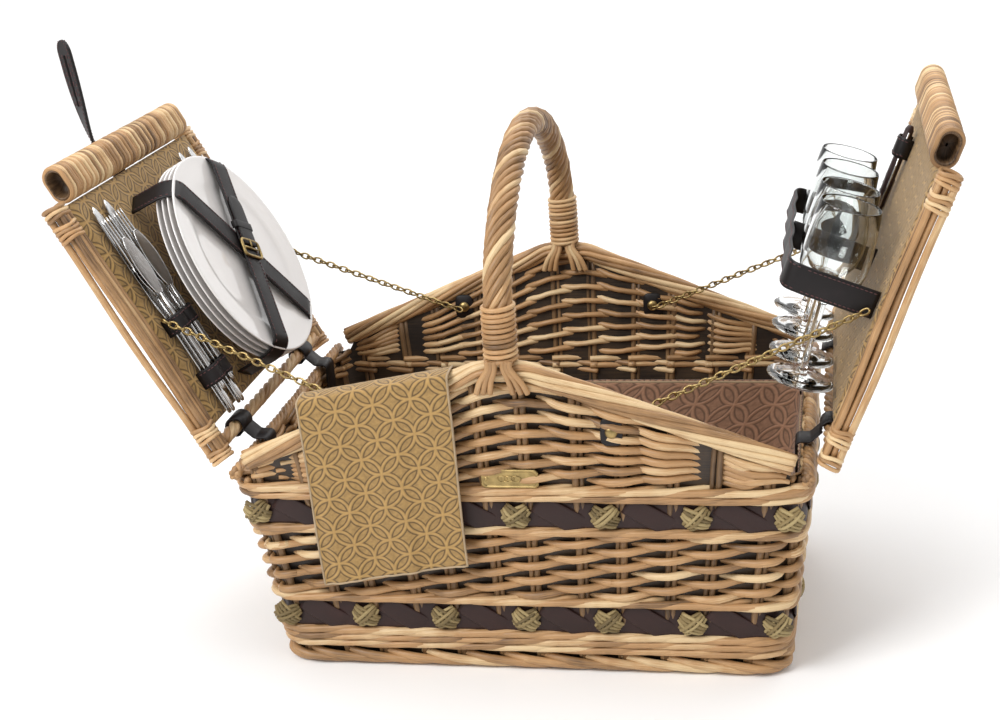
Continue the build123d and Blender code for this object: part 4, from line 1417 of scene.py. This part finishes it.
class BASKET_OT_cutlery(bpy.types.Operator):
    """Forge four knives, forks and spoons in the left lid's loops"""

    bl_idname = "basket.cutlery"
    bl_label = "Forge cutlery"

    def execute(self, context):
        place = lid_place("left")[0]
        kinds = {"knives": self.knife, "forks": self.fork, "spoons": self.spoon}
        levels = {"knives": -0.004, "forks": -0.0085, "spoons": -0.013}
        starts = {"knives": 0.006, "forks": 0.006, "spoons": 0.028}
        for kind, make in kinds.items():
            steel = Mesh()
            for y in CUTLERY_Y:

                def at(s, across, lift, y=y, level=levels[kind], start=starts[kind]):
                    return place(start + s, y + across, level - lift)

                make(steel, at)
            steel.object(f"{kind}_steel", material("steel"), "left_lid", "steel", (kind,))
        return {"FINISHED"}

    def bar(self, mesh, at, stations, tone=0.5):
        """A flattened bar through (s, half width, half thickness, lift) stations, with an oval section."""
        rows, uvs = [], []
        for s, wide, thick, lift in stations:
            rows.append([at(s, cos(a) * wide, lift + sin(a) * thick)
                         for a in (2 * pi * k / 14 for k in range(14))])
            uvs.append([(s, k / 14 * 0.02) for k in range(14)])
        start = len(mesh.verts)
        mesh.grid(rows, uvs, tone, close_u=True)
        mesh.faces.append(tuple(start + k for k in range(14)))
        mesh.faces.append(tuple(start + (len(rows) - 1) * 14 + k for k in range(14)))

    def handle(self, mesh, at, end, neck=0.0026):
        self.bar(mesh, at,
                 [(0.0002, 0.0018, 0.0006, 0), (0.0016, 0.0036, 0.0010, 0), (0.006, 0.0044, 0.0013, 0),
                            (0.020, 0.0044, 0.0013, 0), (end * 0.45, 0.0038, 0.0013, 0),
                            (end * 0.75, 0.0030, 0.0013, 0), (end, neck, 0.0012, 0)])

    def knife(self, mesh, at):
        self.bar(mesh, at,
                 [(0.0002, 0.0022, 0.0008, 0), (0.0020, 0.0040, 0.0012, 0), (0.010, 0.0045, 0.0013, 0),
                            (0.06, 0.0044, 0.0013, 0), (0.100, 0.0042, 0.0013, 0), (0.108, 0.0038, 0.0012, 0),
                            (0.112, 0.0046, 0.0009, 0), (0.122, 0.0066, 0.0007, 0),
                            (0.150, 0.0073, 0.0006, 0),
                            (0.200, 0.0074, 0.0006, 0), (0.216, 0.0062, 0.0005, 0),
                            (0.224, 0.0040, 0.0005, 0),
                            (0.2278, 0.0010, 0.0004, 0)])

    def fork(self, mesh, at):
        self.handle(mesh, at, 0.128)
        self.bar(mesh, at,
                 [(0.126, 0.0026, 0.0011, 0), (0.136, 0.0042, 0.0009, 0), (0.145, 0.0090, 0.0008, 0.0003),
                            (0.152, 0.0108, 0.0008, 0.0005), (0.162, 0.0109, 0.0007, 0.0004)])
        for k in (-1.5, -0.5, 0.5, 1.5):
            steps = 8
            path = [at(0.160 + 0.0535 * i / steps, k * (0.0060 - 0.0003 * i / steps),
                       0.0004 - 0.0008 * (i / steps) ** 2)
                    for i in range(steps + 1)]
            mesh.tube(path, [0.0013 * (1 - 0.55 * (i / steps) ** 3) for i in range(steps + 1)], 8, 0.5)

    def spoon(self, mesh, at):
        self.handle(mesh, at, 0.108)
        rows, uvs = [], []
        count, across = 16, 12
        for side in (0, 1):
            for i in range(count + 1):
                f = i / count
                wide = 0.0118 * sin(pi * (0.06 + 0.90 * f)) ** 0.62
                row, uv = [], []
                for k in range(across + 1):
                    g = k / across * 2 - 1
                    dish = 0.0012 * (1 - g * g) * sin(pi * f)
                    row.append(at(0.107 + 0.0605 * f, wide * g, -dish + (0.0005 if side else 0.0)))
                    uv.append((f * 0.06, g * 0.012))
                rows.append(row)
                uvs.append(uv)
        mesh.grid(rows[:count + 1], uvs[:count + 1])
        mesh.grid(rows[count + 1:], uvs[count + 1:], flip=True)
        rim = [at(0.107 + 0.0605 * f, 0.0118 * sin(pi * (0.06 + 0.90 * f)) ** 0.62 * w, 0.0002)
               for w, fs in ((1, range(0, 17)), (-1, range(16, -1, -1))) for f in (k / 16 for k in fs)]
        mesh.tube(rim, 0.0006, 6, 0.5, closed=True)


class BASKET_OT_glasses(bpy.types.Operator):
    """Blow four wine glasses, held upright on the right lid"""

    bl_idname = "basket.glasses"
    bl_label = "Blow glasses"

    def execute(self, context):
        place = lid_place("right")[0]
        lean = radians(LEAN["right"] - 5)
        stem = Vector((sin(lean), 0, cos(lean)))
        outer = [(30.2, 0.2), (30.5, 0.8), (30.0, 1.3), (20, 2.4), (9, 4.0), (5.2, 6.4), (3.7, 12),
                 (3.1, 30), (3.1, 55),
                 (3.6, 72), (6.5, 76.6), (14, 81.0), (21.5, 87), (27.0, 96), (30.0, 108), (30.4, 118),
                 (29.8, 132),
                 (28.6, 148), (27.1, 163.4), (26.7, 164.6), (26.1, 164.7), (25.7, 163.6), (27.3, 147),
                 (28.5, 132),
                 (29.0, 118), (28.6, 108), (25.6, 97), (20, 88.6), (13, 83.0), (6, 79.4), (0, 78.4)]
        profile = [(0.0, 0.6), (24.0, 0.2)] + outer
        for i, y in enumerate((-0.098, -0.036, 0.036, 0.098)):
            glass = Mesh()
            base = place(0.022, y, -0.034)
            glass.lathe(base, stem, [(r * MM, h * MM) for r, h in profile], 56)
            glass.object(f"glass_{i + 1}", material("clear_glass"), "right_lid", "glass",
                         (f"wine_glass_{i + 1}",))
        return {"FINISHED"}


class BASKET_OT_corkscrew(bpy.types.Operator):
    """Make the folded waiter's corkscrew in its loop"""

    bl_idname = "basket.corkscrew"
    bl_label = "Make corkscrew"

    def execute(self, context):
        place = lid_place("right")[0]
        steel, body = Mesh(), Mesh()
        y, level = 0.067, -0.0077

        def at(s, across, lift):
            return place(s, y + across, level - lift)

        body_rows = [(0.140, 0.0030, 0.0028), (0.143, 0.0058, 0.0040), (0.155, 0.0066, 0.0044),
                     (0.185, 0.0070, 0.0046),
                     (0.212, 0.0066, 0.0044), (0.231, 0.0058, 0.0040), (0.2345, 0.0030, 0.0026)]
        rows, uvs = [], []
        for s, wide, thick in body_rows:
            rows.append([at(s, *squarish(2 * pi * k / 20, 0.6, wide, thick)) for k in range(20)])
            uvs.append([(s, k / 20 * 0.03) for k in range(20)])
        body.grid(rows, uvs, 0.5, close_u=True)
        body.faces.append(tuple(range(20)))
        body.faces.append(tuple(len(body.verts) - 20 + k for k in range(20)))
        body.object("corkscrew_body", material("ribbon"), "right_lid", "steel", ("corkscrew",))
        steel.tube([at(0.146, -0.0066, 0.0), at(0.186, -0.0068, 0.0), at(0.229, -0.0064, 0.0)], 0.0011, 8)
        steel.tube([at(0.143, 0, -0.0040), at(0.160, 0, -0.0047), at(0.182, 0.0008, -0.0046)], 0.0011, 8)
        helix = []
        for i in range(60):
            angle = i / 60 * 2 * pi * 5
            helix.append(at(0.150 + 0.040 * i / 60, 0.0040 + cos(angle) * 0.0024,
                            sin(angle) * 0.0020 + 0.0024))
        steel.tube(helix, 0.0007, 6)
        steel.object("corkscrew_steel", material("steel"), "right_lid", "steel")
        return {"FINISHED"}


# ---------------------------------------------------------------- metalwork


class BASKET_OT_chains(bpy.types.Operator):
    """Link the four curb chains: each half rides its own body"""

    bl_idname = "basket.chains"
    bl_label = "Link chains"

    def execute(self, context):
        s = sizes()
        for side in WAY:
            for face in FACES:
                for half_name in ("wall", "lid"):
                    self.half(f"chain_{side}_{face}_{half_name}", s)
        return {"FINISHED"}

    def half(self, name, s):
        points = [v.co for v in frame["nodes"][name].data.vertices]
        pivot = Vector(JOINTS[f"{name}_swing"]["pos_m"])
        far = max(points, key=lambda p: (p - pivot).length)
        near = [p for p in points if (p - far).length < 0.002]
        tip = sum(near, Vector()) / len(near)
        way = (tip - pivot).normalized()
        a = pivot + way * 0.0005
        # the halves meet at the chain's middle; the collision shapes stop short of it
        length = (tip - a).length + CHAIN_MIDDLE_GAP
        flat = way.cross(Vector((0, 0, 1))).normalized()
        other = way.cross(flat)
        count = max(2, round(length / s.link))
        pitch = length / count
        chain = Mesh()
        for i in range(count):
            mid = a + way * (pitch * (i + 0.5))
            twist = radians(52 if i % 2 else -38)
            across = flat * cos(twist) + other * sin(twist)
            lift = flat * -sin(twist) + other * cos(twist)
            ring = []
            for k in range(22):
                angle = 2 * pi * k / 22
                reach = pitch * 0.5 + s.wire * 1.15
                ring.append(mid + way * (cos(angle) * reach) + across * (sin(angle) * LINK_HALF_WIDTH)
                            + lift * (0.0006 * sin(2 * angle)))
            chain.tube(ring, s.wire, 8, 0.5, closed=True)
        chain.object(f"{name}_links", material("brass"), name, "chain", (name,))


class BASKET_OT_fittings(bpy.types.Operator):
    """Add the brass name plate, the chain studs and the closure's turning post"""

    bl_idname = "basket.fittings"
    bl_label = "Add fittings"

    def execute(self, context):
        self.name_plate()
        self.anchors()
        self.post()
        return {"FINISHED"}

    def name_plate(self):
        """A plain plate with clipped corners, a raised border, a simple relief and two pins."""
        low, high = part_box("name_plate")
        plate = Mesh()
        cx, cz = (low.x + high.x) / 2, (low.z + high.z) / 2
        wide, tall = (high.x - low.x) / 2, (high.z - low.z) / 2

        def at(x, z, out):
            return Vector((cx + x, -(half(cz + z)[1] + out), cz + z))

        rings = []
        for grow, out in ((0.0, -0.001), (0.0, 0.0013), (-0.0008, 0.0019), (-0.0018, 0.0019),
                          (-0.0025, 0.0013)):
            clip = 0.0028
            w, h = wide + grow, tall + grow
            corner = [(w - clip, h), (-w + clip, h), (-w, h - clip), (-w, -h + clip), (-w + clip, -h),
                      (w - clip, -h),
                      (w, -h + clip), (w, h - clip)]
            rings.append([at(x, z, out) for x, z in corner])
        plate.grid(rings, [[(k * 0.01, 0)] * 8 for k in range(len(rings))], 0.5, close_u=True)
        plate.faces.append(tuple(len(plate.verts) - 8 + k for k in range(8)))
        for way in (-1, 1):
            plate.lathe(at(way * (wide - 0.0052), 0, 0.0010), Vector((0, -1, 0)),
                        [(0.0018, 0), (0.0017, 0.0007), (0.0010, 0.0012), (0, 0.0013)], 16)
            for k in range(3):
                ring = [at(way * 0.0062 * (k - 1) + cos(a) * 0.0044, sin(a) * 0.0030, 0.0015)
                        for a in (2 * pi * j / 20 for j in range(20))]
                if way > 0:
                    plate.tube(ring, 0.00045, 6, closed=True)
        plate.object("name_plate_brass", material("brass"), "basket", "brass", ("name_plate",), smooth=False)

    def anchors(self):
        """Domed studs in leather patches, where each chain's lower end is pinned."""
        brass, leather = Mesh(), Mesh()
        for x in STUD_X.values():
            for way in FACES.values():
                z = STUD_Z
                out = Vector((0, -way, 0))
                for inner in (1, -1):
                    depth = -WALL if inner > 0 else 0.0
                    at = Vector((x, way * (half(z)[1] + depth), z))
                    face_out = out * inner
                    brass.lathe(at + face_out * 0.0014, face_out,
                                [(0.0056, 0), (0.0056, 0.0008), (0.0044, 0.0020), (0.0024, 0.0028),
                                 (0, 0.0030)], 20)
                    corners = [squarish(2 * pi * k / 28, 0.5, 0.0098, 0.0130) for k in range(28)]
                    rings = []
                    for scale, lift in ((1.0, -0.0010), (1.0, 0.0006), (0.93, 0.0014), (0.0, 0.0015)):
                        rings.append([at + Vector((cx * scale, 0, cz * scale)) + face_out * lift for cx,
                                      cz in corners])
                    leather.grid(rings, [[(k * 0.003, j * 0.002) for j in range(28)] for k in range(4)],
                                 close_u=True)
        brass.object("chain_studs", material("brass"), "basket", "brass", ("chain_anchors",))
        leather.object("chain_patches", material("leather"), "basket", "leather")

    def post(self):
        """The turning catch on the right lid that the closure strap's slot goes over."""
        place, _, out = lid_place("right")
        brass = Mesh()
        s, top = 0.212, 0.012
        rings = []
        for grow, t in ((0.0, top), (0.0, top + 0.0016), (-0.0008, top + 0.0022)):
            ring = [squarish(2 * pi * k / 32, 0.6, 0.0148 + grow, 0.0108 + grow) for k in range(32)]
            rings.append([place(s + up, across, t) for up, across in ring])
        brass.grid(rings, [[(k * 0.002, j * 0.002) for j in range(32)] for k in range(3)], close_u=True)
        brass.faces.append(tuple(len(brass.verts) - 32 + k for k in range(32)))
        brass.lathe(place(s, 0, top + 0.002), out,
                    [(0.0042, 0), (0.0036, 0.0010), (0.0028, 0.0024), (0.0028, 0.0050)], 20)
        rings = []
        for grow, t in ((-0.0006, 0.0066), (0.0, 0.0072), (0.0, 0.0086), (-0.0008, 0.0094)):
            ring = []
            for k in range(32):
                angle = 2 * pi * k / 32
                ring.append(place(s + cos(angle) * (0.0030 + grow), sin(angle) * (0.0090 + grow), top + t))
            rings.append(ring)
        brass.grid(rings, [[(k * 0.002, j * 0.002) for j in range(32)] for k in range(4)], close_u=True)
        brass.faces.append(tuple(len(brass.verts) - 32 + k for k in range(32)))
        brass.faces.append(tuple(len(brass.verts) - 128 + k for k in range(32)))
        brass.object("closure_catch", material("brass"), "right_lid", "brass", ("closure_post",))


# ---------------------------------------------------------------- cloth


class BASKET_OT_liner(bpy.types.Operator):
    """Sew the cloth pouch that lines the right half, piped round its top"""

    bl_idname = "basket.liner"
    bl_label = "Sew liner"

    def execute(self, context):
        low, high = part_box("liner_pouch")
        cloth, piping = Mesh(), Mesh()
        top = high.z
        floor = low.z + 0.002
        corner = 0.03

        def ring(z, shrink):
            reach_x, reach_y = half(z)[0] - WALL - 0.0012 - shrink, half(z)[1] - WALL - 0.0012 - shrink
            start = low.x + 0.0016 + shrink
            points = []
            runs = (((start, -reach_y), (reach_x, -reach_y)), ((reach_x, -reach_y), (reach_x, reach_y)),
                    ((reach_x, reach_y), (start, reach_y)), ((start, reach_y), (start, -reach_y)))
            for (ax, ay), (bx, by) in runs:
                for k in range(22):
                    f = k / 22
                    x, y = ax + (bx - ax) * f, ay + (by - ay) * f
                    cx = min(max(x, start + corner), reach_x - corner)
                    cy = min(max(y, -reach_y + corner), reach_y - corner)
                    away = Vector((x - cx, y - cy))
                    if abs(x - cx) > 1e-9 and abs(y - cy) > 1e-9:
                        away = away.normalized() * corner
                        x, y = cx + away.x, cy + away.y
                    points.append(Vector((x, y, z)))
            return points

        rows, uvs = [], []
        levels = 26
        for i in range(levels + 1):
            z = floor + (top - floor) * i / levels
            points = ring(z, 0.0)
            row, uv, along = [], [], 0.0
            for k, p in enumerate(points):
                if k:
                    along += (p - points[k - 1]).length
                slack = 0.0022 * noise.noise(Vector((p.x * 22, p.y * 22, p.z * 14))) - 0.0012
                inward = Vector((p.x - 0.12, p.y, 0)).normalized() * slack * sin(pi * min(1, i / levels))
                row.append(p + inward * (0.7 if i < levels else 0))
                uv.append((along, z))
            rows.append(row)
            uvs.append(uv)
        cloth.grid(rows, uvs, close_u=True)
        inner = [[p.lerp(Vector((0.12, 0, p.z)), 0.012) for p in row] for row in rows]
        cloth.grid(inner, uvs, close_u=True)
        cloth.grid([rows[-1], inner[-1]], [uvs[-1], uvs[-1]], close_u=True)
        shrinks = [ring(floor, 0.0)]
        centre = Vector((0.125, 0, floor))
        for f in (0.75, 0.5, 0.25, 0.02):
            shrinks.append([centre.lerp(p, f) for p in shrinks[0]])
        cloth.grid(shrinks, [[(p.x, p.y) for p in row] for row in shrinks], close_u=True)
        cloth.object("liner_cloth", material("liner"), "basket", "liner_fabric", ("liner_pouch",))
        piping.tube([p + Vector((0, 0, -0.0012)) for p in ring(top - 0.001, 0.0004)], 0.0021, 8, 0.5,
                    closed=True)
        piping.object("liner_piping", material("piping"), "basket", "liner_fabric")
        return {"FINISHED"}


class BASKET_OT_napkin(bpy.types.Operator):
    """Drape the folded napkin over the front rim, with a hem round it"""

    bl_idname = "basket.napkin"
    bl_label = "Drape napkin"

    def execute(self, context):
        pivot = Vector(JOINTS["napkin_settle"]["pos_m"])
        width, drop, inside = 0.139, 0.190, 0.013
        turn = radians(11.2)
        slope = math.atan(SLOPE) - turn
        reach = 0.004 + 0.0047
        columns, rows_front, rows_over, rows_in = 56, 60, 10, 6
        cloth, hem = Mesh(), Mesh()
        fall = math.tan(slope) * width
        grid, uvs = [], []

        def section(f):
            """Points down the cloth at f of its width from the pivot: in, over and down the front."""
            x = pivot.x - width * f
            top = pivot.z - math.tan(slope) * width * f + 0.0014
            bottom = pivot.z - drop - fall * f
            out_face = -(half(top)[1] + reach)
            in_face = -(half(top)[1] - WALL - reach)
            points = []
            for k in range(rows_in):
                z = top - inside + (inside - 0.004) * k / rows_in
                points.append(Vector((x, in_face, z)))
            for k in range(rows_over + 1):
                angle = pi * k / rows_over
                mid_y = (out_face + in_face) / 2
                y = mid_y + (in_face - mid_y) * cos(angle)
                z = top - 0.004 + 0.0045 * sin(angle) ** 0.6
                points.append(Vector((x, y, z)))
            for k in range(1, rows_front + 1):
                g = k / rows_front
                z = top - 0.004 + (bottom - top + 0.004) * g
                points.append(Vector((x, -(half(z)[1] + reach), z)))
            return points

        def pleat(f, g):
            """How far the hanging cloth stands off, in soft folds that open downwards."""
            fold = sin(f * pi * 5.2 + 0.8 * sin(g * 2.1)) + 0.45 * sin(f * pi * 11 + 1.7)
            return 0.0026 * g * fold + 0.0012 * noise.noise(Vector((f * 6, g * 5, 3.3)))

        for i in range(columns + 1):
            f = i / columns
            points = section(f)
            row, uv, length = [], [], 0.0
            for k, p in enumerate(points):
                if k:
                    length += (p - points[k - 1]).length
                g = max(0.0, (k - rows_in - rows_over) / rows_front)
                off = max(-0.0006, pleat(f, g)) + 0.0014 * min(1.0, g * 8) if g else 0.0
                sway = 0.0010 * sin(g * 5 + 1) * g
                row.append(p + Vector((sway, -off, 0)))
                uv.append((f * width, length))
            grid.append(row)
            uvs.append(uv)
        thick = 0.0007
        inner = []
        for i, row in enumerate(grid):
            side_row = []
            for k, p in enumerate(row):
                a = grid[min(i + 1, columns)][k] - grid[max(i - 1, 0)][k]
                b = row[min(k + 1, len(row) - 1)] - row[max(k - 1, 0)]
                normal = a.cross(b).normalized()
                side_row.append(p + normal * thick)
            inner.append(side_row)
        cloth.grid(grid, uvs)
        cloth.grid(inner, uvs, flip=True)
        edge = [grid[i][0] for i in range(columns + 1)] + grid[-1][1:] \
            + [grid[i][-1] for i in range(columns - 1, -1, -1)] + list(reversed(grid[0][1:-1]))
        edge_in = [inner[i][0] for i in range(columns + 1)] + inner[-1][1:] \
            + [inner[i][-1] for i in range(columns - 1, -1, -1)] + list(reversed(inner[0][1:-1]))
        cloth.grid([edge, edge_in], [[(0, 0)] * len(edge), [(0, 0)] * len(edge)], close_u=True)
        hem_line = [(p + q) / 2 for p, q in zip(edge, edge_in)]
        hem.tube(hem_line, 0.0011, 6, 0.5, closed=True)
        napkin = cloth.object("napkin_cloth", material("cloth"), "napkin", "napkin_fabric", ("napkin",))
        hem_piece = hem.object("napkin_hem", material("piping"), "napkin", "napkin_fabric")
        length = sum((a - b).length for a, b in zip(grid[columns // 2], grid[columns // 2][1:]))
        return {"FINISHED"}


# ---------------------------------------------------------------- stage


class BASKET_OT_stage(bpy.types.Operator):
    """Lay a pale sweep, light it softly and place the camera"""

    bl_idname = "basket.stage"
    bl_label = "Set stage"

    def execute(self, context):
        floor = Mesh()
        rows, uvs = [], []
        profile = [(-3.0, 0.0), (1.4, 0.0)] + [
            (1.4 + 1.0 * sin(a), 1.0 - 1.0 * cos(a)) for a in (pi / 2 * k / 12 for k in range(1, 13))
        ] + [(2.4, 4.0)]
        for y, z in profile:
            rows.append([Vector((x, y, z)) for x in (-5.0, -1.5, 1.5, 5.0)])
            uvs.append([(x, y + z) for x in (-5.0, -1.5, 1.5, 5.0)])
        floor.grid(rows, uvs)
        n = Nodes("paper_sweep")
        haze = n.noise(n.coords("Object"), 3.0, 2.0)
        tint = n.ramp(haze, [(0.3, (0.93, 0.93, 0.93)), (0.7, (0.96, 0.96, 0.96))])
        n.set(Base_Color=tint, Roughness=0.9)
        data = bpy.data.meshes.new("sweep")
        data.from_pydata([tuple(v) for v in floor.verts], [], floor.faces)
        data.polygons.foreach_set("use_smooth", [True] * len(data.polygons))
        data.materials.append(n.material)
        sweep = bpy.data.objects.new("sweep", data)
        context.scene.collection.objects.link(sweep)
        world = bpy.data.worlds.new("studio")
        context.scene.world = world
        world.use_nodes = True
        world.node_tree.nodes["Background"].inputs["Color"].default_value = (1.0, 1.0, 1.0, 1.0)
        world.node_tree.nodes["Background"].inputs["Strength"].default_value = 0.38
        for name, at, size, power in (("key", (-1.6, -1.9, 2.4), 1.5, 84.0),
                                      ("fill", (2.2, -1.6, 1.5), 2.2, 16.0),
                                      ("top", (0.2, 0.4, 2.7), 2.4, 36.0),
                                      ("back", (0.4, 2.2, 2.0), 2.0, 22.0)):
            data = bpy.data.lights.new(name, "AREA")
            data.energy, data.size = power, size
            lamp = bpy.data.objects.new(name, data)
            lamp.location = at
            lamp.rotation_mode = "QUATERNION"
            lamp.rotation_quaternion = (Vector((0, 0, 0.2)) - Vector(at)).to_track_quat("-Z", "Y")
            context.scene.collection.objects.link(lamp)
        context.scene.view_settings.view_transform = "Standard"
        self.camera(context)
        return {"FINISHED"}

    def camera(self, context):
        yaw, pitch, roll = -0.201, 0.340, -0.070
        ahead = Vector((sin(yaw) * cos(pitch), cos(yaw) * cos(pitch), -sin(pitch)))
        right = Vector((cos(yaw), -sin(yaw), 0))
        up = right.cross(ahead)
        x = right * cos(roll) + up * sin(roll)
        y = -right * sin(roll) + up * cos(roll)
        data = bpy.data.cameras.new("camera")
        data.sensor_width = 36.0
        data.lens = 60.47
        data.shift_x, data.shift_y = -0.0163, -0.0025
        camera = bpy.data.objects.new("camera", data)
        camera.matrix_world = Matrix((
            (x.x, y.x, -ahead.x, 0.2848), (x.y, y.y, -ahead.y, -1.5152), (x.z, y.z, -ahead.z, 0.8051),
            (0, 0, 0, 1),
        ))
        context.scene.collection.objects.link(camera)
        context.scene.camera = camera


# ---------------------------------------------------------------- panel and registration

STEPS = (
    BASKET_OT_stage, BASKET_OT_walls, BASKET_OT_base, BASKET_OT_rims, BASKET_OT_bands, BASKET_OT_handle,
    BASKET_OT_lids, BASKET_OT_straps, BASKET_OT_plates, BASKET_OT_cutlery, BASKET_OT_glasses,
    BASKET_OT_corkscrew,
    BASKET_OT_chains, BASKET_OT_fittings, BASKET_OT_liner, BASKET_OT_napkin,
)


class BASKET_PT_panel(bpy.types.Panel):
    bl_label = "Picnic basket"
    bl_idname = "BASKET_PT_panel"
    bl_space_type = "VIEW_3D"
    bl_region_type = "UI"
    bl_category = "Basket"

    def draw(self, context):
        layout = self.layout
        for group in (context.scene.basket_sizes, context.scene.basket_colours):
            box = layout.box()
            for name in group.__annotations__:
                box.prop(group, name)
        for step in STEPS:
            layout.operator(step.bl_idname)


CLASSES = (BasketSizes, BasketColours, *STEPS, BASKET_PT_panel)


def register():
    for cls in CLASSES:
        bpy.utils.register_class(cls)
    bpy.types.Scene.basket_sizes = PointerProperty(type=BasketSizes)
    bpy.types.Scene.basket_colours = PointerProperty(type=BasketColours)


def unregister():
    del bpy.types.Scene.basket_colours
    del bpy.types.Scene.basket_sizes
    for cls in reversed(CLASSES):
        bpy.utils.unregister_class(cls)


def main():
    register()
    for step in STEPS:
        group, name = step.bl_idname.split(".")
        getattr(getattr(bpy.ops, group), name)()


if __name__ == "__main__":
    main()
